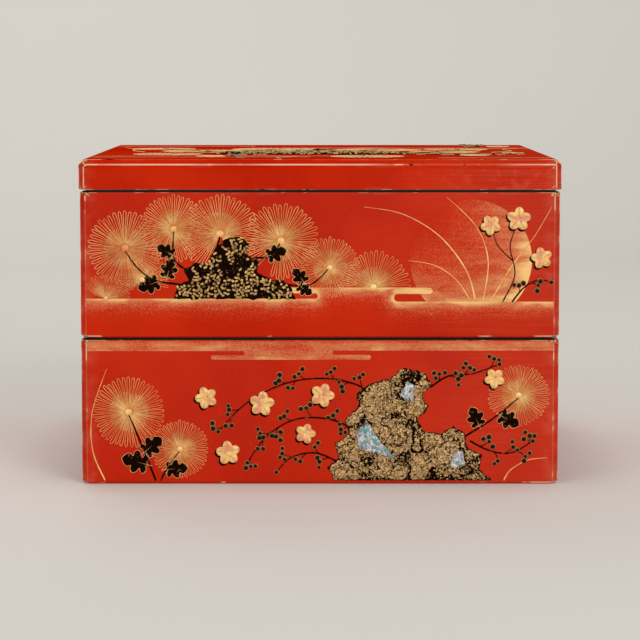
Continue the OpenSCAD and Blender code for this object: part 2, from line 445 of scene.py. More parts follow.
def dark_relief(settings, name):
    """Black lacquer lines in low relief, with a little gold rubbed on."""
    f = Finish(name)
    glint = f.smooth(0.6, 0.68, f.noise(0.9, 3.0)) * f.smooth(0.45, 0.6, f.noise(5.0))
    colour = f.mix(glint * 0.8, settings.relief_black, settings.old_gold)
    return f.surface(
        Base_Color=colour, Metallic=glint * 0.4, Roughness=0.34, Specular_Ior_Level=0.0,
        Normal=f.bump(f.noise(0.6, 3.0), 0.06),
    )


def bud_finish(settings, name):
    """Black buds with a pale gold rim."""
    f = Finish(name)
    rim = f.smooth(0.35, 0.6, f.mark("rim") + (f.noise(1.1) - 0.5) * 0.9)
    return f.surface(
        Base_Color=f.mix(rim, settings.relief_black, settings.bud_rim), Metallic=rim * 0.3,
        Roughness=0.25 + rim * 0.2, Specular_Ior_Level=0.1,
    )


def rock_finish(settings, name):
    """Crackled tan gold with fine dark lines, and black hollows speckled with gold."""
    f = Finish(name)
    swirl = f.noise(2.6, 2.0).out("Color")
    warp = f.node("ShaderNodeVectorMath", {"operation": "SCALE"}, {0: swirl, "Scale": 5.0})
    bent = f.node("ShaderNodeVectorMath", {"operation": "ADD"}, {0: f.place, 1: warp})
    wide = f.cracks(bent, 2.2)
    fine = f.cracks(bent, 1.2)
    shown = f.smooth(0.4, 0.5, f.noise(1.9, 3.0))
    line = f.fall(0.02, 0.09, wide) * shown
    hair = f.fall(0.02, 0.09, fine) * (1.0 - shown)
    crest = 1.0 - f.most(line, hair * 0.55)
    tan = f.mix(f.smooth(0.35, 0.65, f.noise(1.3, 4.0)), settings.old_gold, settings.tan)
    tan = f.mix(f.smooth(0.52, 0.66, f.noise(0.6, 3.0)) * 0.9, tan, settings.pale_gold)
    broad = f.noise(1.0, 4.0, (0.07, 0.09, 0.09), distortion=1.0)
    hollow = f.smooth(0.47, 0.68, broad + (f.noise(1.2, 2.0) - 0.5) * 0.14)
    bare = f.smooth(0.4, 0.9, f.mark("bare") + (f.noise(1.4, 3.0) - 0.5) * 0.5)
    left = f.smooth(-0.12, 0.12, f.grains(0.55) - f.most(hollow * 0.86, bare * 0.92))
    gold = crest * left
    return f.surface(
        Base_Color=f.mix(gold, settings.relief_black, tan), Metallic=gold * 0.2,
        Roughness=0.5 - gold * 0.06, Specular_Ior_Level=0.0, Normal=f.bump(crest - hollow * 0.5, 0.25),
    )


def flake_finish(settings, name):
    """Cut gold flakes, each of its own tone."""
    f = Finish(name)
    shade = f.mark("shade")
    tone = f.mix(f.smooth(0.0, 0.16, shade), settings.relief_black, settings.old_gold)
    tone = f.mix(f.smooth(0.1, 0.8, shade), tone, settings.flake_gold)
    return f.surface(
        Base_Color=tone, Metallic=0.3, Roughness=0.36 + f.noise(0.8) * 0.1, Specular_Ior_Level=0.0,
        Normal=f.bump(f.noise(0.5), 0.05),
    )


def shell_finish(settings, name):
    """Polished shell with blue, green and pink layers, cracked where it was laid."""
    f = Finish(name)
    layer = f.noise(3.4, 5.0, distortion=2.6)
    colour = f.mix(f.smooth(0.4, 0.54, layer), settings.shell_white, settings.shell_grey)
    colour = f.mix(f.smooth(0.53, 0.6, f.noise(2.6, 3.0, distortion=1.4)), colour, settings.shell_blue)
    colour = f.mix(f.smooth(0.56, 0.64, f.noise(1.9, 4.0)), colour, settings.shell_pink)
    cells = f.cracks(f.stretched((0.26, 0.3, 0.3)), 0.2)
    flaw = f.smooth(0.6, 0.66, f.noise(2.2, 4.0))
    crack = f.most(f.fall(0.015, 0.05, cells), flaw)
    colour = f.mix(crack * 0.9, colour, settings.relief_black)
    return f.surface(
        Base_Color=colour, Metallic=0.2, Roughness=0.14 + crack * 0.3, Coat_Weight=0.3, Coat_Roughness=0.04,
        Normal=f.bump(layer, 0.08),
    )


def paper_finish(settings, name):
    """Even matt paper of the floor and backdrop."""
    f = Finish(name)
    tone = f.mix(f.noise(300.0), tuple(share * 0.97 for share in settings.floor), settings.floor)
    return f.surface(Base_Color=tone, Roughness=0.75, Specular_Ior_Level=0.2)


class Pattern(Maker):
    """A Geometry Nodes tree with named inputs, which ends in Realize Instances and Set Material."""

    def __init__(self, name, inputs):
        super().__init__(bpy.data.node_groups.new(name, "GeometryNodeTree"))
        self.keys = {}
        inputs = {"Points": "NodeSocketGeometry", **inputs, "Finish": "NodeSocketMaterial"}
        sockets = self.tree.interface
        for title, kind in inputs.items():
            self.keys[title] = sockets.new_socket(title, in_out="INPUT", socket_type=kind).identifier
        sockets.new_socket("Mesh", in_out="OUTPUT", socket_type="NodeSocketGeometry")
        self.given = self.node("NodeGroupInput")

    def read(self, name, kind="FLOAT"):
        """The points' own value of that name."""
        return self.node("GeometryNodeInputNamedAttribute", {"data_type": kind}, {"Name": name})

    def store(self, mesh, name, value, domain="POINT"):
        """The mesh or its instances with a value of that name."""
        sockets = {"Geometry": mesh, "Name": name, "Value": value}
        return self.node("GeometryNodeStoreNamedAttribute", {"domain": domain}, sockets)

    def chance(self, low, high, seed):
        """Random number of each point."""
        sockets = {CHANCE_LOW: low, CHANCE_HIGH: high, "Seed": seed}
        made = self.node("FunctionNodeRandomValue", {}, sockets)
        return Number(self, made.socket.node.outputs[CHANCE_RESULT])

    def vector(self, x, y, z):
        """A vector of three values or links."""
        return self.node("ShaderNodeCombineXYZ", {}, {"X": x, "Y": y, "Z": z})

    def spun(self, rotation, angle):
        """The rotation with a turn about its own Z added."""
        turn = self.node("FunctionNodeEulerToRotation", {}, {0: self.vector(0.0, 0.0, angle)})
        sockets = {"Rotation": rotation, "Rotate By": turn}
        return self.node("FunctionNodeRotateRotation", {"rotation_space": "LOCAL"}, sockets)

    def end(self, instances):
        """Ends the tree with the instances made real and given their finish."""
        whole = self.node("GeometryNodeRealizeInstances", {}, {"Geometry": instances})
        sockets = {"Geometry": whole, "Material": self.given.out("Finish")}
        done = self.node("GeometryNodeSetMaterial", {}, sockets)
        self.node("NodeGroupOutput", {}, {"Mesh": done})

    def grow(self, source, **values):
        """Plain mesh that the tree makes of a source mesh."""
        carrier = bpy.data.objects.new("carrier", source)
        bpy.context.scene.collection.objects.link(carrier)
        pattern = carrier.modifiers.new("pattern", "NODES")
        pattern.node_group = self.tree
        for title, value in values.items():
            pattern[self.keys[title]] = value
        graph = bpy.context.evaluated_depsgraph_get()
        grown = bpy.data.meshes.new_from_object(carrier.evaluated_get(graph), depsgraph=graph)
        carrier.modifiers.remove(pattern)
        bpy.data.objects.remove(carrier)
        return grown


def petal_pattern():
    """Petals drawn in outline round each point, whose turn, spread, size, breadth and count say how."""
    p = Pattern("petals", {
        "Reach": "NodeSocketFloat", "Breadth": "NodeSocketFloat", "Line": "NodeSocketFloat",
        "Height": "NodeSocketFloat", "Heart": "NodeSocketFloat",
    })
    line = p.node("GeometryNodeCurvePrimitiveLine", {}, {"Start": (-1.0, 0.0, 0.0), "End": (1.0, 0.0, 0.0)})
    line = p.node("GeometryNodeResampleCurve", {}, {"Curve": line, "Count": 13})
    step = p.node("ShaderNodeSeparateXYZ", {}, {0: p.node("GeometryNodeInputPosition")})
    away = 1.0 - abs(step) ** 3.0 * (1.0 - p.given.out("Heart"))
    aside = p.most(-1.0, p.least(1.0, step * 2.2)) * away * p.given.out("Breadth") * 0.5
    outline = p.node("GeometryNodeSetPosition", {}, {
        "Geometry": line, "Position": p.vector(away * p.given.out("Reach"), aside, 0.0),
    })
    ring = p.node("GeometryNodeCurvePrimitiveCircle", {}, {
        "Resolution": 3, "Radius": p.given.out("Line") * 0.55,
    })
    petal = p.node("GeometryNodeCurveToMesh", {}, {
        "Curve": outline, "Profile Curve": ring, "Fill Caps": True,
    })
    squash = p.given.out("Height") / p.given.out("Line")
    petal = p.node("GeometryNodeTransform", {}, {"Geometry": petal, "Scale": p.vector(1.0, 1.0, squash)})

    count = p.read("count", "INT")
    many = p.node("GeometryNodeDuplicateElements", {"domain": "POINT"}, {
        "Geometry": p.given.out("Points"), "Amount": count,
    })
    share = many.out("Duplicate Index") / p.most(count - 1.0, 1.0) - 0.5
    angle = p.read("turn") + share * p.read("spread") + p.chance(-0.015, 0.015, 3)
    size = p.read("size") * p.chance(0.95, 1.02, 5)
    petals = p.node("GeometryNodeInstanceOnPoints", {}, {
        "Points": many, "Instance": petal, "Rotation": p.spun(p.read("facing", "QUATERNION"), angle),
        "Scale": p.vector(size, size * p.read("breadth"), 1.0),
    })
    p.end(petals)
    return p


def bud_pattern():
    """Flattened round buds on the points, with a mark on the rim."""
    p = Pattern("buds", {"Radius": "NodeSocketFloat", "Flatness": "NodeSocketFloat"})
    ball = p.node("GeometryNodeMeshUVSphere", {}, {
        "Segments": 12, "Rings": 10, "Radius": p.given.out("Radius"),
    })
    height = p.node("ShaderNodeSeparateXYZ", {}, {0: p.node("GeometryNodeInputPosition")}).out("Z")
    ball = p.store(ball, "rim", p.fall(0.44, 0.74, height / p.given.out("Radius")))
    bud = p.node("GeometryNodeTransform", {}, {
        "Geometry": ball, "Scale": p.vector(1.0, 1.0, p.given.out("Flatness")),
    })
    size = p.read("size")
    buds = p.node("GeometryNodeInstanceOnPoints", {}, {
        "Points": p.given.out("Points"), "Instance": bud, "Rotation": p.read("facing", "QUATERNION"),
        "Scale": p.vector(size, size, size),
    })
    p.end(buds)
    return p


def flake_pattern():
    """Cut flakes laid apart over a surface, each with its own turn, size and shade."""
    p = Pattern("flakes", {
        "Length": "NodeSocketFloat", "Thickness": "NodeSocketFloat", "Gap": "NodeSocketFloat",
    })
    spots = p.node("GeometryNodeDistributePointsOnFaces", {"distribute_method": "POISSON"}, {
        "Mesh": p.given.out("Points"), "Selection": (p.read("bare") + p.read("patch")) < 0.5,
        "Distance Min": p.given.out("Gap"), "Density Max": 3.0e6, "Seed": 11,
    })
    flake = p.node("GeometryNodeMeshCone", {}, {
        "Vertices": 5, "Radius Top": p.given.out("Length") * 0.44,
        "Radius Bottom": p.given.out("Length") * 0.5, "Depth": p.given.out("Thickness"),
    })
    flakes = p.node("GeometryNodeInstanceOnPoints", {}, {
        "Points": spots, "Instance": flake,
        "Rotation": p.spun(spots.out("Rotation"), p.chance(0.0, 6.28, 7)),
        "Scale": p.vector(p.chance(0.75, 1.25, 8), p.chance(0.45, 0.75, 9), p.chance(0.8, 1.6, 10)),
    })
    p.end(p.store(flakes, "shade", p.chance(0.0, 1.0, 12), "INSTANCE"))
    return p


def marked_mesh(name, points, faces, marks=None):
    """Mesh of points in metres, with values of its own."""
    mesh = bpy.data.meshes.new(name)
    mesh.from_pydata(points, [], faces)
    for title, (kind, values) in (marks or {}).items():
        layer = mesh.attributes.new(title, kind, "POINT")
        layer.data.foreach_set("value", np.array(values, np.int32 if kind == "INT" else np.float32).ravel())
    mesh.update()
    return mesh


class Assembly:
    """Meshes of several kinds, which become one piece on each body."""

    def __init__(self, word, slot):
        self.word = word
        self.slot = slot
        self.parts = {}

    def add(self, body, mesh, material, smooth=False):
        """Takes a mesh in one material as a part of the body's piece."""
        mesh.materials.clear()
        mesh.materials.append(material)
        mesh.polygons.foreach_set("use_smooth", [smooth] * len(mesh.polygons))
        part = bpy.data.objects.new(f"{body}_{self.word}", mesh)
        bpy.context.scene.collection.objects.link(part)
        self.parts.setdefault(body, []).append(part)

    def take(self, gathered, material, smooth=False):
        """Takes what was gathered for every body."""
        for body, mesh in gathered.meshes():
            self.add(body, mesh, material, smooth)

    def finish(self):
        """Joins each body's parts into a piece that rides on it."""
        for body, parts in self.parts.items():
            piece = parts[0]
            if len(parts) > 1:
                with bpy.context.temp_override(active_object=piece, selected_editable_objects=parts):
                    bpy.ops.object.join()
            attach(piece, body)


class Gather:
    """Shapes with the same marks, gathered into one mesh for each body."""

    def __init__(self, *marks):
        self.marks = marks
        self.parts = {}

    def add(self, panel, shape):
        """Takes a shape's points in panel millimetres, its faces, and a row of marks for each point."""
        points, faces, rows = shape
        spots, loops, notes = self.parts.setdefault(panel.body, ([], [], []))
        base = len(spots)
        spots.extend(panel.place(*point) for point in points)
        loops.extend(tuple(base + i for i in face) for face in faces)
        notes.extend(rows)

    def meshes(self):
        """Body and mesh of each body's shapes."""
        for body, (spots, loops, notes) in self.parts.items():
            marks = {title: ("FLOAT", values) for title, values in zip(self.marks, zip(*notes))}
            yield body, marked_mesh(f"{body}_shapes", spots, loops, marks)


class Spots:
    """Points with values of their own, gathered for each body to be grown by a pattern."""

    def __init__(self, *titles):
        self.titles = titles
        self.parts = {}

    def add(self, panel, u, v, w, *values):
        """A point in panel millimetres, with a value for each title."""
        places, facings, notes = self.parts.setdefault(panel.body, ([], [], []))
        places.append(panel.place(u, v, w))
        facings.append(tuple(panel.facing))
        notes.append(values)

    def meshes(self):
        """Body and points of each body."""
        for body, (places, facings, notes) in self.parts.items():
            marks = {"facing": ("QUATERNION", facings)}
            for title, values in zip(self.titles, zip(*notes)):
                marks[title] = ("INT" if title == "count" else "FLOAT", values)
            yield body, marked_mesh(f"{body}_spots", places, [], marks)


def signed_area(outline):
    """Twice the area of an outline, above zero where it runs counterclockwise."""
    return sum(a[0] * b[1] - b[0] * a[1] for a, b in zip(outline, outline[1:] + outline[:1]))


def film(outline, high):
    """Flat closed plate of an outline."""
    if signed_area(outline) < 0:
        outline = outline[::-1]
    count = len(outline)
    points = [(u, v, w) for w in (-SUNK, high) for u, v in outline]
    faces = [tuple(range(count - 1, -1, -1)), tuple(range(count, 2 * count))]
    faces += [(i, (i + 1) % count, count + (i + 1) % count, count + i) for i in range(count)]
    return points, faces, [()] * len(points)


def stepped(outline, pitch):
    """Closed outline cut into steps no longer than pitch."""
    cut = []
    for a, b in zip(outline, outline[1:] + outline[:1]):
        steps = max(1, math.ceil(math.dist(a, b) / pitch))
        cut += [(a[0] + (b[0] - a[0]) * k / steps, a[1] + (b[1] - a[1]) * k / steps) for k in range(steps)]
    return cut


def craggy(outline, panel, pitch, amount):
    """Closed outline with each step moved a little by noise, and kept on its panel."""
    rough = []
    for u, v in stepped(outline, pitch):
        if v > panel.low + 0.01:
            shift = Vector((u * 0.6, v * 0.6, 3.1))
            u += amount * noise.noise(shift)
            v += amount * noise.noise(shift + Vector((0, 0, 5.6)))
        rough.append((u, min(max(v, panel.low), panel.high)))
    return rough


def inside_depth(outline, places):
    """Distance of each place from the outline, below zero outside it."""
    a = np.array(outline)
    b = np.roll(a, -1, axis=0)
    p = np.array(places)[:, None, :]
    along = b - a
    share = np.clip(((p - a) * along).sum(2) / np.maximum((along ** 2).sum(1), 1e-9), 0, 1)
    near = np.sqrt(((p - a - along * share[..., None]) ** 2).sum(2)).min(1)
    crosses = (a[:, 1] > p[..., 1]) != (b[:, 1] > p[..., 1])
    rise = np.where(np.abs(along[:, 1]) < 1e-9, 1e-9, along[:, 1])
    to_right = p[..., 0] < a[:, 0] + along[:, 0] * (p[..., 1] - a[:, 1]) / rise
    inside = (crosses & to_right).sum(1) % 2 == 1
    return np.where(inside, near, -near)


# How far the inner points of a plate stray from an even grid and keep off its edge, in pitches
STRAY = 0.3
KEEP_OFF = 0.55


def sheet(outline, pitch, lift, row, seed=0):
    """Closed plate: each point of its top gets its height and its row of marks from its place and depth."""
    if signed_area(outline) < 0:
        outline = outline[::-1]
    draw = random.Random(seed)
    low = np.min(outline, axis=0)
    high = np.max(outline, axis=0)
    grid = [
        (u + draw.uniform(-STRAY, STRAY) * pitch, v + draw.uniform(-STRAY, STRAY) * pitch)
        for u in np.arange(low[0], high[0], pitch) for v in np.arange(low[1], high[1], pitch)
    ]
    within = [spot for spot, depth in zip(grid, inside_depth(outline, grid)) if depth > KEEP_OFF * pitch]
    count = len(outline)
    edges = [(i, (i + 1) % count) for i in range(count)]
    corners = [Vector(spot) for spot in outline + within]
    flat, _, faces, *_ = delaunay_2d_cdt(corners, edges, [], 1, 1e-5)
    depths = np.maximum(inside_depth(outline, [tuple(spot) for spot in flat]), 0)
    points = [(u, v, lift(u, v, depth)) for (u, v), depth in zip(flat, depths)]
    rows = [row(u, v, depth) for (u, v), depth in zip(flat, depths)]
    around = rim_loop(faces)
    base = len(points)
    points += [(points[i][0], points[i][1], -SUNK) for i in around]
    rows += [rows[i] for i in around]
    loops = [tuple(face) for face in faces]
    steps = len(around)
    loops += [(around[k], base + k, base + (k + 1) % steps, around[(k + 1) % steps]) for k in range(steps)]
    loops.append(tuple(base + k for k in range(steps - 1, -1, -1)))
    return points, loops, rows


def rim_loop(faces):
    """Points round the open edge of counterclockwise faces, in order."""
    sides = {(a, b) for face in faces for a, b in zip(face, face[1:] + face[:1])}
    onward = {a: b for a, b in sides if (b, a) not in sides}
    start = min(onward)
    loop = [start]
    while onward[loop[-1]] != start:
        loop.append(onward[loop[-1]])
    return loop


def path_distance(path, u, v):
    """Distance of a place from a path."""
    a = np.array(path[:-1])
    along = np.array(path[1:]) - a
    to = np.array((u, v)) - a
    share = np.clip((to * along).sum(1) / np.maximum((along ** 2).sum(1), 1e-9), 0, 1)
    return float(np.sqrt(((to - along * share[:, None]) ** 2).sum(1)).min())


# How far a haze band stops short of its panel's end, and the spacing of points on its edge and inside it
HAZE_END = 0.2
HAZE_STEP = 2.5
HAZE_PITCH = 2.2


def haze_edge(start, levels, ends, stop):
    """Crisp edge of a haze band, which runs in from start and turns back round a tongue or slot at ends."""
    steps = 10
    onward = -math.copysign(1, start)
    path = [(start, levels[0])]
    for level, following, end in zip(levels, levels[1:], ends):
        radius = (following - level) / 2
        for step in range(steps + 1):
            angle = math.pi * step / steps
            bulge = onward * abs(radius) * math.sin(angle)
            path.append((end + bulge, level + radius * (1 - math.cos(angle))))
        onward = -onward
    return [*path, (stop, levels[-1])]


def haze_band(panel, side, levels, ends, base, powdering):
    """Band of powder, dense at its crisp edge and thinner away from it."""
    dense, rest, fade = powdering
    edge = side * (panel.half - HAZE_END)
    stop = edge if len(ends) % 2 else -edge
    if base is None and stop != edge:
        raise ValueError("a band that crosses its panel needs a base")
    path = haze_edge(edge, levels, ends, stop)
    outline = path if base is None else [*path, (stop, base), (edge, base)]

    def row(u, v, depth):
        near = path_distance(path, u, v)
        return (rest + (dense - rest) * math.exp(-near / fade),)
    return sheet(stepped(outline, HAZE_STEP), HAZE_PITCH, lambda u, v, depth: HAZE_FILM, row)


def ring(u, v, around, reach, turn=0.0):
    """Places round a middle, as far off at each angle as reach says, with the whole turned."""
    places = []
    for k in range(around):
        angle = 2 * math.pi * k / around
        heading = angle + math.radians(turn)
        away = reach(angle)
        places.append((u + away * math.cos(heading), v + away * math.sin(heading)))
    return places


# Powder of the moon: the spacing of its points, its least density, what its lit side adds all over and at
# its edge, and how fast the edge fades inwards
MOON_PITCH = 2.0
MOON_LEAST = 0.03
MOON_BODY = 0.5
MOON_EDGE = 0.62
MOON_FADE = 7.5


def moon_disc(u, v, radius):
    """Disc of powder, densest at its lower right edge and thinner towards the upper left."""
    def row(a, b, depth):
        toward = (a - u) * 0.7 - (b - v) * 0.7
        lit = min(max(0.56 + 0.56 * toward / radius, 0.0), 1.0)
        return (MOON_LEAST + lit * (MOON_BODY + MOON_EDGE * math.exp(-depth / MOON_FADE)),)
    outline = ring(u, v, 96, lambda angle: radius)
    return sheet(outline, MOON_PITCH, lambda a, b, depth: MOON_FILM, row)


def spline(spots, pitch):
    """Even points along a smooth curve through the spots."""
    padded = [spots[0], *spots, spots[-1]]
    line = []
    for a, b, c, d in zip(padded, padded[1:], padded[2:], padded[3:]):
        steps = max(2, round(math.dist(b, c) / pitch))
        for step in range(steps):
            t = step / steps
            line.append(tuple(
                q + 0.5 * t * (r - p + (2 * p - 5 * q + 4 * r - s) * t + (3 * q - p - 3 * r + s) * t ** 2)
                for p, q, r, s in zip(a, b, c, d)
            ))
    return [*line, tuple(spots[-1])]


# Section of a raised line: place across it from -1 to 1, and share of its height
CROWN = ((-1.0, 0.0), (-0.66, 0.7), (0.0, 1.0), (0.66, 0.7), (1.0, 0.0))
# Least half width of a line, and the one below which it lies lower than its height says
LEAST_HALF = 0.03
FULL_HALF = 0.18


def stroke(spots, widths, height, pitch=1.1):
    """Raised line along a curve, whose width goes evenly from one of widths to the other."""
    line = spline(spots, pitch) if pitch else spots
    last = len(line) - 1
    first, end = widths
    points = []
    for i, (u, v) in enumerate(line):
        share = i / last
        before = line[max(i - 1, 0)]
        after = line[min(i + 1, last)]
        length = math.dist(before, after) or 1.0
        du = (after[0] - before[0]) / length
        dv = (after[1] - before[1]) / length
        half = max((first + (end - first) * share) / 2, LEAST_HALF)
        for across, lift in CROWN:
            w = lift * height * min(1.0, half / FULL_HALF)
            points.append((u + dv * half * across, v - du * half * across, w))
        points.append((u, v, -SUNK))
    around = len(CROWN) + 1
    faces = [tuple(range(around)), tuple(last * around + i for i in range(around - 1, -1, -1))]
    for i in range(last):
        for k in range(around):
            n = (k + 1) % around
            faces.append((i * around + k, (i + 1) * around + k, (i + 1) * around + n, i * around + n))
    return points, faces, [()] * len(points)


# One side of a lobed leaf, along and across as shares of its length, and the ends of its side veins
LEAF_SIDE = (
    (0.0, 0.0), (0.07, 0.1), (0.03, 0.22), (0.11, 0.35), (0.22, 0.32), (0.28, 0.19), (0.37, 0.35),
    (0.5, 0.42), (0.6, 0.33), (0.61, 0.18), (0.75, 0.25), (0.89, 0.16), (1.0, 0.0),
)
LEAF_VEINS = (((0.08, 0.0), (0.12, 0.24)), ((0.3, 0.0), (0.49, 0.31)), ((0.56, 0.0), (0.78, 0.16)))


def leaf(u, v, turn, length):
    """Lobed leaf, and the lines round it and along its veins."""
    heading = math.radians(turn)

    def put(along, across):
        return (
            u + length * (along * math.cos(heading) - across * math.sin(heading)),
            v + length * (along * math.sin(heading) + across * math.cos(heading)),
        )
    side = spline(LEAF_SIDE, 0.6 / length)
    outline = [put(a, b) for a, b in side] + [put(a, -b) for a, b in side[-2:0:-1]]

    def lift(a, b, depth):
        return 0.1 + 0.14 * min(1.0, depth / 1.2)
    blade = sheet(outline, 0.9, lift, lambda a, b, depth: ())
    lines = [
        stroke([*outline, outline[0]], (0.26, 0.26), 0.32, None),
        stroke([put(-0.15, 0.0), put(0.4, 0.0), put(0.94, 0.0)], (0.34, 0.16), 0.36),
    ]
    for start, end in LEAF_VEINS:
        for sign in (1, -1):
            spots = [put(start[0], 0.0), put(end[0], sign * end[1])]
            lines.append(stroke(spots, (0.22, 0.12), 0.34))
    return blade, lines


def petal_reach(angle):
    """Reach of a bellflower's edge at an angle from a petal's tip, and its place between the petals."""
    between_petals = abs((angle * 5 / math.pi + 1) % 2 - 1)
    return 0.66 + 0.34 * (1 - between_petals ** 1.7), between_petals


def boss_faces(rings, around):
    """Faces of a closed boss: a fan round its middle point, bands between its rings, and its underside."""
    faces = [(0, 1 + k, 1 + (k + 1) % around) for k in range(around)]
    for i in range(rings - 1):
        for k in range(around):
            a = 1 + i * around
            n = (k + 1) % around
            faces.append((a + k, a + around + k, a + around + n, a + n))
    base = 1 + (rings - 1) * around
    faces.append(tuple(base + k for k in range(around - 1, -1, -1)))
    return faces


# Points round a bellflower, and its rings: share of the way out from its middle, and height
FLOWER_AROUND = 60
FLOWER_RINGS = ((0.2, 0.2), (0.45, 0.34), (0.75, 0.42), (0.93, 0.34), (1.0, -SUNK))


def bellflower(u, v, radius, turn):
    """Five-pointed open flower with creased petals."""
    points = [(u, v, 0.12)]
    rows = [(0.0, 1.0)]
    asides = [petal_reach(2 * math.pi * k / FLOWER_AROUND)[1] for k in range(FLOWER_AROUND)]
    for share, lift in FLOWER_RINGS:
        def reach(angle):
            return radius * share * (petal_reach(angle)[0] * share + 0.7 * (1 - share))
        for place, aside in zip(ring(u, v, FLOWER_AROUND, reach, turn), asides):
            crease = 0.14 * share * (0.5 - aside) if lift > 0 else 0.0
            points.append((*place, lift + crease))
            rows.append((share, aside))
    return points, boss_faces(len(FLOWER_RINGS), FLOWER_AROUND), rows


def flower_outline(u, v, radius, turn):
    """Edge of a bellflower."""
    return ring(u, v, FLOWER_AROUND, lambda angle: radius * petal_reach(angle)[0], turn)


def dome(u, v, radius, height):
    """Round boss, as at the heart of a flower."""
    around = 16
    rings = ((0.5, 0.87), (0.85, 0.5), (1.0, -SUNK / height))
    points = [(u, v, height)]
    for share, lift in rings:
        points += [(*place, lift * height) for place in ring(u, v, around, lambda angle: radius * share)]
    return points, boss_faces(len(rings), around), [()] * len(points)


def rock(outline, panel, settings, seed):
    """Craggy relief of broken facets inside an outline, marked bare in its creases and at its edge."""
    pitch = settings.rock_pitch / MM
    height = settings.relief / MM

    def crest(u, v):
        shift = 0.5 * noise.noise(Vector((u, v, seed)) * 0.09)
        place = Vector((u / 10 + v / 34 + shift, v / 15 - u / 46 + shift, seed * 3.7))
        near, far = noise.voronoi(place)[0][:2]
        return far - near

    def lift(u, v, depth):
        shoulder = min(1.0, depth / 3.0) ** 0.6
        crag = noise.noise(Vector((u, v, seed)) * 0.4)
        return 0.12 + height * shoulder * (0.35 + 0.65 * min(1.0, crest(u, v) * 2.2) + 0.25 * crag)

    def row(u, v, depth):
        crease = 1 - crest(u, v) / 0.13
        patch = noise.noise(Vector((u * 0.06, v * 0.08, seed + 20.0)))
        return (max(1 - depth / 0.7, crease, 0.0), 1.0 if patch > 0.42 else 0.0)
    return sheet(craggy(outline, panel, pitch, 0.8), pitch, lift, row, seed)


# Powder of each kind of haze band: density at its crisp edge and far from it, and its fade in millimetres
CLOUD = (0.92, 0.0, 3.4)
BORDER = (0.62, 0.46, 2.4)
STREAMER = (0.8, 0.3, 3.0)
LOW_STREAMER = (0.7, 0.3, 2.5)
LID_STREAMER = (0.7, 0.12, 3.0)
# Level that the border under the lower tier's rim starts from
RIM_LEVEL = 59.4
# Haze bands of each face: side they come from, levels of their edge, its turns, their base and their powder
HAZE = {
    "upper_front": [(-1, (16.2, 18.5, 20.8, 18.2, 15.0), (-2, -16, 45, 32), FOOT, CLOUD)],
    "upper_right": [
        (-1, (15.0, 18.0, 20.8, 18.4, 16.0), (-20, -36, 14, 4), FOOT, CLOUD),
        (1, (52, 48), (46,), None, STREAMER),
    ],
    "upper_back": [
        (-1, (16.0, 18.2, 20.6, 18.0, 15.4), (30, 14, 66, 54), FOOT, CLOUD),
        (-1, (53, 48.5), (-52,), None, STREAMER),
    ],
    "upper_left": [(-1, (15.4, 18.2, 20.8, 18.6, 16.2), (-14, -30, 22, 10), FOOT, CLOUD)],
    "lower_front": [(1, (55.6, 53.8, 51.8, 53.6, 55.4), (6, 20, -44, -32), RIM_LEVEL, BORDER)],
    "lower_right": [(1, (55.4, 53.6, 51.8, 53.8, 55.6), (34, 48, -20, -8), RIM_LEVEL, BORDER)],
    "lower_back": [
        (1, (55.6, 53.8, 51.8, 53.6, 55.4), (42, 56, 0, 12), RIM_LEVEL, BORDER),
        (1, (13, 9), (48,), None, LOW_STREAMER),
    ],
    "lower_left": [(1, (55.6, 53.8, 52.0, 53.8, 55.6), (20, 34, -40, -28), RIM_LEVEL, BORDER)],
    "lid_top": [
        (-1, (-52, -60, -64, -72), (18, -30, -8), None, LID_STREAMER),
        (1, (58, 51, 47, 39), (-6, 26, 4), None, LID_STREAMER),
        (1, (-76, -82), (52,), None, LID_STREAMER), (-1, (80, 73), (-34,), None, LID_STREAMER),
    ],
}
# Middle and radius of the moon on the front
MOON = (62.0, 32.0, 25.0)

# Rocks: the face, its outline from one foot round to the other, and a seed
ROCKS = [
    ("upper_front", [
        (-60, 16.2), (-59, 21), (-54, 24), (-56, 28), (-51, 31), (-46, 31), (-44, 36), (-39, 41), (-33, 42),
        (-29, 39), (-30, 34), (-25, 32), (-26, 27), (-20, 24), (-15, 24), (-11, 20), (-10, 16.2),
    ], 1),
    ("lower_front", [
        (6, FOOT), (3, 7), (8, 11), (6, 17), (12, 21), (10, 27), (16, 32), (15, 38), (21, 42), (29, 44),
        (34, 48), (42, 47), (46, 42), (42, 37), (45, 32), (40, 27), (43, 22), (50, 21), (55, 24), (60, 21),
        (61, 15), (67, 12), (66, 6), (71, FOOT),
    ], 2),
    ("upper_right", [
        (22, 16), (26, 21), (31, 22), (33, 28), (39, 30), (43, 37), (50, 38), (54, 33), (52, 28), (58, 25),
        (64, 25), (67, 20), (73, 16),
    ], 3),
    ("lower_back", [
        (-64, FOOT), (-62, 6), (-57, 9), (-58, 16), (-51, 20), (-52, 27), (-46, 33), (-38, 36), (-33, 33),
        (-34, 27), (-29, 24), (-24, 25), (-20, 21), (-22, 16), (-15, 14), (-12, 9), (-6, 7), (-4, FOOT),
    ], 4),
    ("lower_left", [
        (14, FOOT), (16, 6), (22, 8), (24, 13), (30, 14), (31, 21), (37, 26), (43, 25), (46, 20), (44, 15),
        (50, 12), (53, 8), (59, 7), (62, FOOT),
    ], 5),
    ("lid_top", [
        (-46, -34), (-44, -27), (-36, -24), (-33, -15), (-25, -13), (-22, -4), (-14, 2), (-7, 1), (-2, 8),
        (5, 9), (8, 1), (5, -6), (12, -9), (15, -16), (24, -14), (30, -19), (29, -26), (38, -30), (40, -36),
        (22, -39), (6, -35), (-12, -40), (-28, -36),
    ], 6),
]
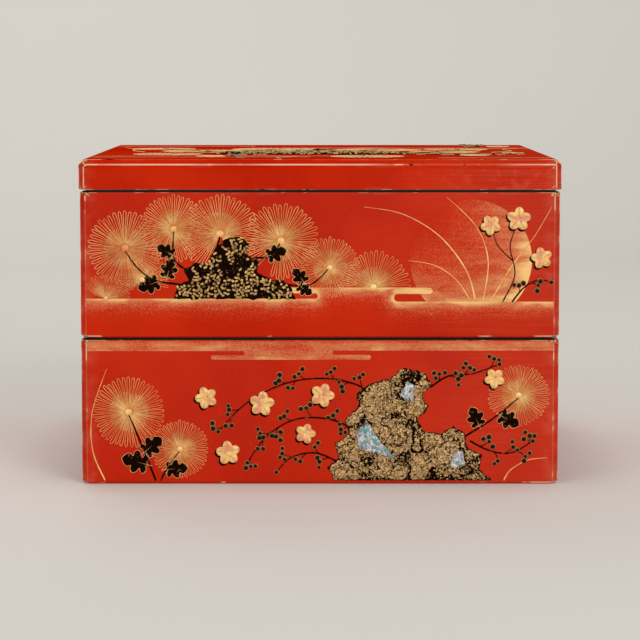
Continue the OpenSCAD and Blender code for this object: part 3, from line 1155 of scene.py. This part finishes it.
# Shell chips let into the rocks: the face, and the corners of each chip
SHELL = [
    ("lower_front", [(15, 21), (19, 27), (24, 19), (31, 11), (23, 13), (16, 15)]),
    ("lower_front", [(54, 7), (60, 8), (59, 14), (55, 13)]),
    ("lower_front", [(33, 37), (38, 34), (39, 41), (36, 43)]),
    ("upper_right", [(42, 22), (48, 20), (50, 27), (45, 30)]),
    ("lower_back", [(-44, 12), (-36, 11), (-34, 19), (-41, 22)]),
    ("lid_top", [(-18, -22), (-8, -24), (-4, -16), (-13, -12)]),
]

# Layers of petals in a chrysanthemum head, with their reach and breadth as shares, and its heart's size
HEAD_LAYERS = ((1.0, 1.0), (0.56, 1.3))
HEART_SHARE = 0.1
HEART_HEIGHT = 0.4
# Chrysanthemum heads: middle, turn and spread in degrees, and reach
HEADS = {
    "upper_front": [
        (-80, 37, 90, 360, 15.5), (-60, 45, 90, 360, 14), (-41, 43, 90, 300, 16), (-16, 40, 60, 330, 15.5),
        (4, 29, 90, 360, 12.5), (22, 20.9, 90, 176, 15), (-73, 24, 100, 230, 11), (-88, 16.4, 78, 150, 10),
    ],
    "lower_front": [(-79, 30, 90, 360, 14.8), (-58, 14.5, 90, 360, 12), (82, 37, 90, 360, 12.6)],
    "upper_right": [
        (-74, 40, 90, 360, 14.5), (-50, 18.1, 90, 176, 14), (-22, 37, 90, 360, 15), (0, 18.1, 90, 176, 11),
        (76, 36, 90, 360, 14.5), (28, 43, 90, 360, 13),
    ],
    "upper_back": [
        (60, 40, 90, 360, 15), (80, 18.1, 90, 176, 12.5), (40, 18.1, 90, 176, 14), (-10, 39, 90, 360, 14.5),
        (-36, 33, 90, 360, 12.5),
    ],
    "upper_left": [
        (-70, 18.1, 90, 176, 14), (-48, 40, 90, 360, 14.5), (-26, 18.1, 90, 176, 12), (16, 38, 90, 360, 15),
        (70, 36, 90, 360, 15),
    ],
    "lower_right": [
        (-60, 32, 90, 360, 14.5), (-38, 17, 90, 360, 12), (66, 27, 90, 360, 15), (84, 38, 60, 240, 11),
    ],
    "lower_back": [
        (28, 31, 90, 360, 15), (54, 18, 90, 360, 12.5), (-78, 32, 90, 360, 13.5), (44, 40, 60, 250, 11.5),
    ],
    "lower_left": [
        (-64, 27, 90, 360, 15), (-36, 34, 90, 360, 12.5), (78, 32, 90, 360, 14), (-84, 40, 110, 240, 11),
    ],
    "lid_top": [
        (-52, 6, 90, 360, 19), (-20, 30, 90, 360, 21), (26, 22, 90, 360, 20), (54, -6, 90, 360, 17),
        (-72, 36, 90, 360, 15), (62, 30, 90, 360, 15), (-66, -34, 90, 360, 15), (20, -62, 90, 360, 16),
    ],
}
# Stems and grass in dark relief: the face, width at the foot, and their points
STEMS = [
    ("upper_front", 0.9, [(-57, 22), (-68, 24), (-75, 29), (-80, 36)]),
    ("upper_front", 0.9, [(-55, 28), (-60, 33), (-60, 44)]),
    ("upper_front", 1.0, [(-43, 34), (-42, 38), (-41, 43)]),
    ("upper_front", 1.0, [(-27, 33), (-20, 34), (-16, 40)]),
    ("upper_front", 0.8, [(-14, 22), (-4, 22), (4, 29)]),
    ("upper_front", 0.6, [(75, 14.8), (80, 26), (78, 38), (81, 47)]),
    ("upper_front", 0.5, [(79, 32), (73, 38), (71, 44)]),
    ("lower_front", 0.9, [(-68, FOOT), (-72, 12), (-79, 29)]),
    ("lower_front", 0.8, [(-66, FOOT), (-63, 7), (-58, 14)]),
    ("lower_front", 0.9, [(60, 20), (71, 27), (82, 36)]),
    ("upper_right", 0.9, [(-66, 12), (-68, 26), (-74, 39)]),
    ("upper_right", 0.9, [(-14, 13), (-22, 24), (-22, 36)]),
    ("upper_right", 0.9, [(64, 16), (74, 24), (76, 35)]),
    ("upper_right", 0.8, [(36, 20), (29, 30), (28, 42)]),
    ("upper_back", 0.9, [(56, 14), (64, 26), (60, 39)]),
    ("upper_back", 0.9, [(-20, 13), (-12, 24), (-10, 38)]),
    ("upper_back", 0.8, [(-28, 8), (-38, 20), (-36, 32)]),
    ("upper_left", 0.9, [(-40, 13), (-50, 26), (-48, 39)]),
    ("upper_left", 0.9, [(10, 12), (18, 25), (16, 37)]),
    ("upper_left", 0.9, [(58, 10), (66, 22), (70, 35)]),
    ("lower_right", 0.9, [(-52, FOOT), (-62, 16), (-60, 31)]),
    ("lower_right", 0.8, [(-50, FOOT), (-44, 9), (-38, 16)]),
    ("lower_right", 0.9, [(58, FOOT), (68, 12), (66, 26)]),
    ("lower_back", 0.9, [(36, FOOT), (34, 16), (28, 30)]),
    ("lower_back", 0.8, [(42, FOOT), (50, 8), (54, 17)]),
    ("lower_back", 0.9, [(-66, FOOT), (-76, 16), (-78, 31)]),
    ("lower_left", 0.9, [(-56, FOOT), (-64, 12), (-64, 26)]),
    ("lower_left", 0.8, [(-50, FOOT), (-42, 18), (-36, 33)]),
    ("lower_left", 0.9, [(70, FOOT), (80, 14), (78, 31)]),
    ("lid_top", 1.4, [(-30, -20), (-44, -12), (-52, 5)]),
    ("lid_top", 1.4, [(-14, -4), (-24, 12), (-20, 29)]),
    ("lid_top", 1.4, [(4, 6), (20, 8), (26, 21)]),
    ("lid_top", 1.4, [(24, -14), (42, -18), (54, -7)]),
    ("lid_top", 1.2, [(-50, 4), (-66, 20), (-72, 35)]),
    ("lid_top", 1.2, [(44, -16), (62, 10), (62, 29)]),
    ("lid_top", 1.2, [(-40, -26), (-56, -26), (-66, -35)]),
    ("lid_top", 1.2, [(0, -34), (14, -46), (20, -61)]),
]
# Leaves: the face, foot, turn and length
LEAVES = [
    ("upper_front", -66, 23.5, 200, 9.5), ("upper_front", -63, 24.5, 75, 9),
    ("upper_front", -60, 34, 150, 8), ("upper_front", -22, 33.5, 20, 9),
    ("upper_front", -6, 22.5, 130, 8), ("upper_front", -9, 22, -35, 7),
    ("lower_front", -71, 8, 165, 11.5), ("lower_front", -73, 13, 40, 10), ("lower_front", -64, 6, 5, 9.5),
    ("lower_front", 66, 24, 115, 9), ("lower_front", 74, 29, -30, 9.5),
    ("upper_right", -67, 22, 20, 10.5), ("upper_right", -69, 28, 165, 10),
    ("upper_right", -19, 20, 10, 10.5), ("upper_right", -22, 26, 170, 9.5),
    ("upper_right", 75, 26, 165, 9.5), ("upper_back", 62, 23, 20, 10.5), ("upper_back", 63, 29, 160, 10),
    ("upper_back", -14, 22, 25, 10.5), ("upper_back", -37, 20, 150, 10),
    ("upper_left", -47, 24, 20, 10.5), ("upper_left", -50, 30, 165, 10), ("upper_left", 17, 24, 10, 10.5),
    ("upper_left", 64, 19, 160, 10.5), ("upper_left", 69, 27, 10, 9.5),
    ("lower_right", -60, 13, 150, 11.5), ("lower_right", -62, 19, 20, 10.5),
    ("lower_right", 65, 10, 165, 11.5), ("lower_right", 68, 15, 20, 10.5),
    ("lower_back", 35, 11, 155, 11), ("lower_back", 34, 17, 165, 10.5), ("lower_back", -72, 13, 20, 10.5),
    ("lower_back", 47, 6, 150, 9), ("lower_back", 50, 9, -10, 9), ("lower_back", -68, 8, 160, 10),
    ("lower_back", 38, 8, -15, 9), ("lower_right", -46, 8, -5, 9), ("lower_right", -54, 7, 165, 9.5),
    ("lower_left", -46, 9, 5, 10), ("lower_left", -54, 5, -10, 8.5), ("lower_left", 75, 7, 10, 10),
    ("upper_back", -32, 14, 170, 9), ("upper_back", -18, 17, 175, 9), ("upper_left", 61, 14, 5, 9),
    ("upper_left", -44, 19, 165, 9), ("upper_left", 13, 18, 165, 9), ("upper_right", 30, 27, 165, 8.5),
    ("upper_right", -67, 16, 170, 9), ("upper_right", -16, 16, 170, 9), ("upper_right", 69, 20, -20, 8.5),
    ("lower_left", -61, 9, 160, 11.5), ("lower_left", -64, 14, 15, 10.5),
    ("lower_left", 77, 11, 160, 10.5), ("lid_top", -42, -14, 150, 15), ("lid_top", -46, -8, 30, 14),
    ("lid_top", -22, 10, 160, 15), ("lid_top", -20, 8, 20, 13), ("lid_top", 14, 7, -30, 15),
    ("lid_top", 36, -17, 80, 14), ("lid_top", 40, -18, -40, 14), ("lid_top", 60, 8, 10, 13),
]
# Arching sprays of bush clover, with buds along them
SPRAYS = [
    ("lower_front", [(26, 34), (16, 41), (2, 44), (-14, 42), (-30, 34), (-42, 22)]),
    ("lower_front", [(16, 22), (4, 27), (-10, 27), (-22, 20), (-30, 9)]),
    ("lower_front", [(8, 9), (-2, 13), (-12, 11), (-18, 5)]),
    ("lower_front", [(45, 40), (53, 45), (63, 46), (74, 50)]),
    ("lower_front", [(62, 18), (70, 14), (79, 13), (88, 18)]),
    ("upper_front", [(79, 15), (84, 21), (90, 24), (95, 23)]),
    ("lower_right", [(-20, FOOT), (-14, 18), (0, 32), (18, 38), (38, 34), (52, 24)]),
    ("lower_right", [(-12, FOOT), (0, 12), (16, 18), (32, 14)]),
    ("upper_right", [(84, 4), (88, 16), (92, 26)]),
    ("upper_back", [(12, 12), (6, 22), (2, 24), (-1, 20)]),
    ("lower_back", [(-22, 20), (-12, 32), (2, 40), (14, 42)]),
    ("lower_back", [(92, 4), (86, 18), (88, 34), (80, 44)]),
    ("lower_left", [(40, 22), (30, 34), (14, 42), (-4, 40), (-18, 30)]),
    ("lower_left", [(20, 8), (8, 14), (-6, 14), (-16, 8)]),
    ("lid_top", [(36, -30), (52, -40), (70, -42), (86, -34)]),
    ("lid_top", [(-22, -34), (-34, -46), (-38, -60), (-34, -76)]),
    ("lid_top", [(70, 60), (76, 74), (72, 88)]),
]
# Bellflowers: middle, radius and turn
BELLFLOWERS = {
    "lower_front": [
        (-24, 33.5, 5.4, 10), (-47, 36, 4.8, 40), (1, 37, 5.2, 70), (-38, 13, 5.2, 25), (-6, 21, 4.4, 0),
        (72, 44, 4.4, 50),
    ],
    "upper_front": [(81.5, 49, 5.2, 15), (70, 46.5, 4.4, 50), (91, 33, 4.6, 30)],
    "lower_right": [(6, 28, 5.2, 20), (32, 27, 5.0, 60), (20, 10, 4.8, 0), (84, 10, 4.4, 40)],
    "upper_right": [(12, 28, 4.6, 50)],
    "upper_back": [(12, 31, 4.8, 30), (-64, 26, 4.8, 0)],
    "lower_back": [(0, 32, 5.2, 15), (78, 28, 4.8, 55), (8, 14, 4.6, 0)],
    "upper_left": [(44, 27, 4.8, 20), (-84, 38, 4.6, 45)],
    "lower_left": [(2, 33, 5.2, 35), (-8, 22, 4.6, 0), (56, 36, 4.8, 15)],
    "lid_top": [(66, -52, 7.0, 20), (-46, -64, 7.0, 50), (84, -26, 5.6, 0), (84, 66, 6.0, 10)],
}
# Grass blades: the face, width at the foot, and their points
BLADES = [
    ("upper_front", 0.8, [(64, 15), (60, 28), (49, 42), (34, 51), (18, 54)]),
    ("upper_front", 0.7, [(67, 15), (69, 32), (64, 46), (52, 58)]),
    ("upper_front", 0.7, [(70, 15), (79, 30), (88, 42), (95, 54)]),
    ("upper_front", 0.6, [(62, 15), (56, 24), (47, 30), (36, 32)]),
    ("lower_front", 0.7, [(-89, FOOT), (-94, 14), (-94, 30), (-88, 48)]),
    ("lower_front", 0.7, [(76, FOOT), (79, 6), (86, 10), (94, 11)]),
    ("upper_right", 0.7, [(86, 1.8), (82, 20), (88, 40), (84, 55)]),
    ("upper_right", 0.7, [(-91, 13), (-93, 28), (-89, 44), (-92, 56)]),
    ("upper_back", 0.7, [(-78, 1.8), (-74, 20), (-66, 38), (-56, 44)]),
    ("upper_back", 0.7, [(-82, 1.8), (-86, 18), (-82, 34), (-86, 44)]),
    ("upper_back", 0.6, [(22, 13), (26, 28), (22, 42), (26, 56)]),
    ("upper_back", 0.6, [(26, 13), (34, 28), (42, 40), (52, 54)]),
    ("upper_left", 0.7, [(40, 1.8), (36, 18), (40, 36), (36, 54)]),
    ("upper_left", 0.7, [(44, 1.8), (50, 20), (48, 38), (54, 48)]),
    ("lower_right", 0.7, [(86, FOOT), (91, 18), (88, 36), (92, 46)]),
    ("lower_back", 0.7, [(68, FOOT), (70, 18), (66, 34), (70, 46)]),
    ("lower_back", 0.6, [(-88, FOOT), (-92, 14), (-90, 28), (-94, 44)]),
    ("lower_right", 0.6, [(-74, FOOT), (-78, 16), (-84, 30), (-93, 42)]),
    ("lower_right", 0.6, [(-77, FOOT), (-84, 10), (-94, 14)]),
    ("lower_left", 0.7, [(-82, FOOT), (-87, 18), (-84, 34), (-90, 46)]),
    ("lid_top", 1.2, [(-78, -8), (-84, 12), (-86, 34), (-91, 54)]),
    ("lid_top", 1.2, [(76, -12), (86, 6), (84, 30), (92, 46)]),
    ("lid_top", 1.0, [(-10, -62), (-18, -74), (-16, -88)]),
]


def colour_setting(name, text, colour):
    """A colour that can be set."""
    return FloatVectorProperty(
        name=name, description=text, default=colour, subtype="COLOR", min=0.0, max=1.0
    )


def length_setting(name, text, millimetres):
    """A length that can be set."""
    return FloatProperty(
        name=name, description=text, default=millimetres * MM, unit="LENGTH", precision=5, min=0.0
    )


class LacquerBoxSettings(bpy.types.PropertyGroup):
    """Sizes and colours of the finishes and the decoration."""

    red: colour_setting("Red", "Vermilion lacquer of the outside", srgb(197, 38, 3))
    deep_red: colour_setting("Deep red", "Darker clouds in the red lacquer", srgb(184, 29, 0))
    warm_red: colour_setting("Warm red", "Lighter mottling in the red lacquer", srgb(207, 50, 8))
    # Bloom also colours the painted sheen of the polished streaks and by the edges
    bloom_and_sheen: colour_setting("Bloom", "Dull pink of rubbed lacquer", srgb(206, 104, 78))
    worn_edge: colour_setting("Worn edge", "Cream ground that shows on worn arrises", srgb(226, 176, 122))
    # Pale edge is a painted highlight along rubbed arrises and the lid's bevel, mixed with the worn ground
    pale_highlight: colour_setting("Pale edge", "Polished pale line on rubbed arrises", srgb(240, 186, 166))
    chip: colour_setting("Chip", "Dark ground in chips", srgb(40, 15, 9))
    black: colour_setting("Black", "Black lacquer of the inside", srgb(14, 10, 9))
    brown_black: colour_setting("Brown black", "Lighter clouds in the black lacquer", srgb(26, 17, 13))
    rubbed_black: colour_setting("Rubbed black", "Brown of rubbed black lacquer", srgb(58, 34, 24))
    relief_black: colour_setting("Relief black", "Black of stems, buds and rock hollows", srgb(22, 9, 5))
    gold: colour_setting("Gold", "Gold of drawn lines", srgb(228, 156, 84))
    pale_gold: colour_setting("Pale gold", "Lighter gold", srgb(244, 200, 128))
    powder_gold: colour_setting("Powder gold", "Thinly sprinkled gold powder", srgb(212, 134, 88))
    worn_gold: colour_setting("Worn gold", "Gold lines rubbed through to the red", srgb(210, 100, 60))
    old_gold: colour_setting("Old gold", "Dull gold in relief work", srgb(158, 120, 72))
    bud_rim: colour_setting("Bud rim", "Gold rim round the buds", srgb(186, 138, 78))
    flake_gold: colour_setting("Flake gold", "Lightest cut flakes", srgb(204, 166, 106))
    tan: colour_setting("Tan", "Light crackle on the rocks", srgb(204, 168, 122))
    petal_gold: colour_setting("Petal gold", "Petals of the bellflowers", srgb(240, 186, 102))
    petal_pale: colour_setting("Petal pale", "Palest part of the petals", srgb(246, 208, 138))
    petal_pink: colour_setting("Petal pink", "Pink rubbed over the petals", srgb(222, 138, 106))
    shell_white: colour_setting("Shell white", "Palest layer of the shell", srgb(232, 232, 228))
    shell_grey: colour_setting("Shell grey", "Grey layer of the shell", srgb(150, 156, 160))
    shell_blue: colour_setting("Shell blue", "Blue-green layer of the shell", srgb(64, 172, 170))
    shell_pink: colour_setting("Shell pink", "Pink layer of the shell", srgb(198, 188, 198))
    floor: colour_setting("Floor", "Colour of the floor and backdrop", srgb(232, 228, 222))
    gloss: FloatProperty(
        name="Gloss", description="Strength of the mirror light on lacquer", default=0.06, min=0.0, max=1.0
    )
    grain: length_setting("Grain", "Size of a gold powder grain", 0.17)
    petal_reach: length_setting("Petal reach", "Reach of the petals of a head of size one", 15.0)
    petal_breadth: length_setting("Petal breadth", "Distance between a petal's two lines at its tip", 1.3)
    petal_pitch: length_setting("Petal pitch", "Distance between the middles of petal tips", 2.3)
    petal_line: length_setting("Petal line", "Width of a drawn petal line", 0.27)
    petal_height: length_setting("Petal height", "Thickness of a drawn petal line", 0.18)
    bud_radius: length_setting("Bud radius", "Radius of a bud", 1.2)
    relief: length_setting("Relief", "Height of the rocks over the ground", 0.95)
    rock_pitch: length_setting("Rock pitch", "Distance between points of a rock's surface", 1.1)
    flake_length: length_setting("Flake length", "Length of a cut flake", 1.75)
    flake_thickness: length_setting("Flake thickness", "Thickness of a cut flake", 0.2)
    flake_gap: length_setting("Flake gap", "Least distance between two flakes", 1.08)
    seed: IntProperty(name="Seed", description="Start of the random numbers", default=4, min=0)


class LACQUERBOX_OT_boards(bpy.types.Operator):
    """Finish the boards, lips, floors and keys with lacquer"""
    bl_idname = "lacquerbox.boards"
    bl_label = "Boards"

    def execute(self, context):
        settings = context.scene.lacquer_box
        black = black_lacquer(settings, "black_lacquer")
        low, high = span("lid_rim_front")[0], span("lid_panel")[1]
        rim = red_lacquer(settings, "lid_rim_lacquer", low.z, high.z, high.x, "rim")
        panel = red_lacquer(settings, "lid_top_lacquer", low.z, high.z, high.x, "panel")
        reds = {"lid": rim}
        for word in ("lower", "upper"):
            low, high = span(f"{word}_front_wall")
            reds[word] = red_lacquer(settings, f"{word}_lacquer", low.z, high.z, -low.y, "tier")
        for name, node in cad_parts.items():
            finish = reds[name.split("_")[0]]
            if name == "lid_panel":
                finish = panel
            if any(part in name for part in ("lip", "floor", "cove")):
                finish = black
            node.data.materials.clear()
            node.data.materials.append(finish)
        return {"FINISHED"}


class LACQUERBOX_OT_haze(bpy.types.Operator):
    """Lay the haze bands and the moon in gold powder"""
    bl_idname = "lacquerbox.haze"
    bl_label = "Haze and Moon"

    def execute(self, context):
        settings = context.scene.lacquer_box
        gathered = Gather("dense")
        gathered.add(PANELS["upper_front"], moon_disc(*MOON))
        for name, bands in HAZE.items():
            for band in bands:
                gathered.add(PANELS[name], haze_band(PANELS[name], *band))
        wall_powder = powder(settings, "gold_powder", settings.gloss)
        lid_powder = powder(settings, "lid_gold_powder", 0.0)
        haze = Assembly("haze", "gold_decoration")
        for body, mesh in gathered.meshes():
            haze.add(body, mesh, lid_powder if body == "lid" else wall_powder)
        haze.finish()
        return {"FINISHED"}


class LACQUERBOX_OT_relief(bpy.types.Operator):
    """Build the rocks, stems, sprays with their buds, leaves, and dark painted shadows under the flowers,
    in low relief
    """
    bl_idname = "lacquerbox.relief"
    bl_label = "Relief"

    # Points along a spray before its first twig, and how far twigs keep from flowers and the panel's edge
    first_twig = 5
    flower_gap = 2.6
    edge_gap = 3.5

    def execute(self, context):
        settings = context.scene.lacquer_box
        relief = Assembly("relief", "dark_relief")
        dark = dark_relief(settings, "dark_relief")
        stems = Gather()
        for name, width, spots in STEMS:
            stems.add(PANELS[name], stroke(spots, (width, width * 0.6), 0.3))
        # Dark plate under each bellflower, set down and to the left of it: a painted shadow
        for name, flowers in BELLFLOWERS.items():
            for u, v, radius, turn in flowers:
                stems.add(PANELS[name], film(flower_outline(u - 0.5, v - 0.6, radius, turn), 0.1))
        for name, *place in LEAVES:
            stems.add(PANELS[name], leaf(*place)[0])
        buds = Spots("size")
        draw = random.Random(settings.seed)
        for name, spots in SPRAYS:
            panel = PANELS[name]
            stems.add(panel, stroke(spots, (0.85, 0.4), 0.28))
            self.twigs(panel, spline(spots, 1.0), BELLFLOWERS.get(name, ()), stems, buds, draw)
        relief.take(stems, dark, True)

        pattern = bud_pattern()
        finish = bud_finish(settings, "buds")
        for body, mesh in buds.meshes():
            grown = pattern.grow(mesh, Radius=settings.bud_radius, Flatness=0.5, Finish=finish)
            relief.add(body, grown, finish, True)

        rocks = Gather("bare", "patch")
        for name, outline, seed in ROCKS:
            rocks.add(PANELS[name], rock(outline, PANELS[name], settings, seed))
        crackle = rock_finish(settings, "crackled_rock")
        pattern = flake_pattern()
        gold = flake_finish(settings, "cut_flakes")
        flakes = Assembly("flakes", "gold_decoration")
        for body, mesh in rocks.meshes():
            if body == "lower_tier":
                relief.add(body, mesh, crackle, True)
            else:
                grown = pattern.grow(
                    mesh.copy(), Length=settings.flake_length, Thickness=settings.flake_thickness,
                    Gap=settings.flake_gap, Finish=gold,
                )
                flakes.add(body, grown, gold)
                relief.add(body, mesh, dark, True)
        flakes.finish()
        relief.finish()
        return {"FINISHED"}

    def twigs(self, panel, line, flowers, stems, buds, draw):
        """Short twigs on alternate sides of a line, each with a few buds round its end."""
        side = 1
        place = self.first_twig
        while place < len(line) - 1:
            u, v = line[place]
            before = line[place - 1]
            heading = math.atan2(v - before[1], u - before[0]) + side * draw.uniform(0.6, 1.0)
            length = draw.uniform(2.6, 4.6)
            end = (u + length * math.cos(heading), v + length * math.sin(heading))
            lean = heading - 0.2 * side
            bend = (u + 0.5 * length * math.cos(lean), v + 0.5 * length * math.sin(lean))
            clear = all(math.dist(end, (a, b)) > radius + self.flower_gap for a, b, radius, _ in flowers)
            if clear and panel.holds(*end, self.edge_gap):
                stems.add(panel, stroke([(u, v), bend, end], (0.45, 0.3), 0.22, 0.8))
                for k in range(draw.choice((2, 3, 3, 4))):
                    around = heading + (k - 1) * 1.15 + draw.uniform(-0.25, 0.25)
                    away = 0.4 if k == 1 else draw.uniform(1.9, 2.6)
                    u, v = end[0] + away * math.cos(around), end[1] + away * math.sin(around)
                    buds.add(panel, u, v, 0.06, draw.uniform(0.8, 1.1))
            side = -side
            place += draw.choice((4, 5, 6))
        buds.add(panel, *line[-1], 0.06, 0.9)


class LACQUERBOX_OT_shell(bpy.types.Operator):
    """Let the shell chips into the rocks"""
    bl_idname = "lacquerbox.shell"
    bl_label = "Shell Chips"

    def execute(self, context):
        settings = context.scene.lacquer_box
        gathered = Gather()
        for name, outline in SHELL:
            chip = craggy(outline, PANELS[name], 1.2, 0.5)
            gathered.add(PANELS[name], film(chip, settings.relief / MM + 0.3))
        chips = Assembly("shell_chips", "shell_inlay")
        chips.take(gathered, shell_finish(settings, "shell"))
        chips.finish()
        return {"FINISHED"}


class LACQUERBOX_OT_lines(bpy.types.Operator):
    """Draw the chrysanthemum heads, leaf veins and grass blades in fine gold lines"""
    bl_idname = "lacquerbox.lines"
    bl_label = "Gold Lines"

    def execute(self, context):
        settings = context.scene.lacquer_box
        gold = gold_lines(settings, "gold_lines")
        lines = Assembly("gold_lines", "gold_decoration")
        heads = Spots("turn", "spread", "size", "breadth", "count")
        strokes = Gather()
        pitch = settings.petal_pitch / MM
        for name, flowers in HEADS.items():
            for u, v, turn, spread, reach in flowers:
                full = spread > 359
                for layer, (share, breadth) in enumerate(HEAD_LAYERS):
                    arc = math.radians(spread)
                    size = reach * share / (settings.petal_reach / MM)
                    count = max(5, round(arc * reach * share / (pitch * size * breadth)))
                    middle = math.radians(turn) + 0.5 * (layer % 2) * arc / count
                    fan = arc * (count - 1) / count if full else arc
                    lift = 0.03 + 0.04 * layer
                    heads.add(PANELS[name], u, v, lift, middle, fan, size, breadth, count)
                strokes.add(PANELS[name], dome(u, v, HEART_SHARE * reach, HEART_HEIGHT))
        petals = petal_pattern()
        for body, mesh in heads.meshes():
            grown = petals.grow(
                mesh, Reach=settings.petal_reach, Breadth=settings.petal_breadth, Line=settings.petal_line,
                Height=settings.petal_height, Heart=0.15, Finish=gold,
            )
            lines.add(body, grown, gold, True)
        for name, *place in LEAVES:
            for line in leaf(*place)[1]:
                strokes.add(PANELS[name], line)
        for name, width, spots in BLADES:
            strokes.add(PANELS[name], stroke(spots, (width, 0.2), 0.16))
        lines.take(strokes, gold, True)
        lines.finish()
        return {"FINISHED"}


class LACQUERBOX_OT_bellflowers(bpy.types.Operator):
    """Build the bellflowers"""
    bl_idname = "lacquerbox.bellflowers"
    bl_label = "Bellflowers"

    def execute(self, context):
        settings = context.scene.lacquer_box
        gathered = Gather("along", "vein")
        for name, places in BELLFLOWERS.items():
            for u, v, radius, turn in places:
                gathered.add(PANELS[name], bellflower(u, v, radius, turn))
        flowers = Assembly("bellflowers", "gold_decoration")
        flowers.take(gathered, blossom_gold(settings, "bellflower_gold"), True)
        flowers.finish()
        return {"FINISHED"}


class LACQUERBOX_OT_stage(bpy.types.Operator):
    """Set the floor, backdrop, lamps and camera"""
    bl_idname = "lacquerbox.stage"
    bl_label = "Stage"

    # Light that comes from all round, and how much brighter the world shows past the floor's front edge
    ambient = 0.4
    horizon = 0.3
    # Sweep that the box stands on: half width, front edge, where it starts to rise, its radius and its top
    half = 3.0
    front = -2.6
    rise = 1.1
    bend = 0.7
    top = 2.6
    # Lamps: name, place, what they face, width and watts
    lamps = (
        ("overhead", (0.0, -0.05, 1.3), (0.0, -0.05, 0.1), 0.45, 2.6),
        ("key", (1.44, -2.72, 1.16), (0.0, 0.0, 0.06), 1.44, 38.4),
        ("fill", (-1.92, -2.56, 0.92), (0.0, 0.0, 0.06), 1.92, 23.0),
        ("rear", (-0.5, 1.3, 1.2), (0.0, 0.0, 0.06), 1.0, 4.0),
    )
    # Camera: place, degrees that it looks down, and focal length and sensor width in millimetres
    eye = (0.0, -1.1349, 0.1715)
    downward = 5.69
    focal = 142.4
    sensor = 36.0

    def execute(self, context):
        scene = context.scene
        self.sweep(scene)
        for lamp in self.lamps:
            self.light(scene, *lamp)
        self.world(scene)
        self.camera(scene)
        scene.view_settings.view_transform = "Standard"
        return {"FINISHED"}

    def sweep(self, scene):
        """Floor that rises into the backdrop in one curve."""
        profile = [(self.front, 0.0), (self.rise, 0.0)]
        steps = 16
        for step in range(1, steps + 1):
            angle = 0.5 * math.pi * step / steps
            profile.append((self.rise + self.bend * math.sin(angle), self.bend * (1 - math.cos(angle))))
        profile.append((self.rise + self.bend, self.top))
        points = [(x, y, z) for y, z in profile for x in (-self.half, self.half)]
        faces = [(2 * i, 2 * i + 1, 2 * i + 3, 2 * i + 2) for i in range(len(profile) - 1)]
        mesh = bpy.data.meshes.new("floor")
        mesh.from_pydata(points, [], faces)
        mesh.polygons.foreach_set("use_smooth", [True] * len(faces))
        mesh.materials.append(paper_finish(scene.lacquer_box, "paper"))
        floor = bpy.data.objects.new("floor", mesh)
        scene.collection.objects.link(floor)

    def light(self, scene, name, place, target, size, watts):
        """Square soft lamp that faces its target."""
        light = bpy.data.lights.new(name, "AREA")
        light.size = size
        light.energy = watts
        lamp = bpy.data.objects.new(name, light)
        lamp.location = place
        lamp.rotation_euler = (Vector(target) - Vector(place)).to_track_quat("-Z", "Y").to_euler()
        scene.collection.objects.link(lamp)

    def world(self, scene):
        """Even light from all round, which shows brighter to the camera and in gloss and glass."""
        world = bpy.data.worlds.new("studio")
        world.use_nodes = True
        tree = world.node_tree
        back = tree.nodes["Background"]
        back.inputs["Color"].default_value = (1.0, 0.98, 0.95, 1.0)
        seen = Maker(tree).node("ShaderNodeLightPath")
        shown = seen.out("Is Camera Ray") + seen.out("Is Glossy Ray") + seen.out("Is Transmission Ray")
        tree.links.new((self.ambient + shown * self.horizon).socket, back.inputs["Strength"])
        scene.world = world

    def camera(self, scene):
        """Camera at the photograph's angle."""
        lens = bpy.data.cameras.new("camera")
        lens.lens = self.focal
        lens.sensor_width = self.sensor
        camera = bpy.data.objects.new("camera", lens)
        camera.location = self.eye
        camera.rotation_euler = (math.radians(90.0 - self.downward), 0.0, 0.0)
        scene.collection.objects.link(camera)
        bpy.context.scene.camera = camera


class LACQUERBOX_PT_panel(bpy.types.Panel):
    """Settings and steps of the lacquer box"""
    bl_idname = "LACQUERBOX_PT_panel"
    bl_label = "Lacquer Box"
    bl_space_type = "VIEW_3D"
    bl_region_type = "UI"
    bl_category = "Lacquer Box"

    def draw(self, context):
        layout = self.layout
        settings = context.scene.lacquer_box
        for step in STEPS:
            layout.operator(step.bl_idname)
        for name in LacquerBoxSettings.__annotations__:
            layout.prop(settings, name)


STEPS = (
    LACQUERBOX_OT_stage, LACQUERBOX_OT_boards, LACQUERBOX_OT_haze, LACQUERBOX_OT_relief,
    LACQUERBOX_OT_shell, LACQUERBOX_OT_lines, LACQUERBOX_OT_bellflowers,
)
CLASSES = (LacquerBoxSettings, *STEPS, LACQUERBOX_PT_panel)


def register():
    """Adds the classes, and the settings to the scene."""
    for item in CLASSES:
        bpy.utils.register_class(item)
    bpy.types.Scene.lacquer_box = PointerProperty(type=LacquerBoxSettings)


def unregister():
    """Takes them away again."""
    del bpy.types.Scene.lacquer_box
    for item in reversed(CLASSES):
        bpy.utils.unregister_class(item)


def main():
    """Runs every step in order."""
    register()
    for step in STEPS:
        group, name = step.bl_idname.split(".")
        getattr(getattr(bpy.ops, group), name)()


if __name__ == "__main__":
    main()
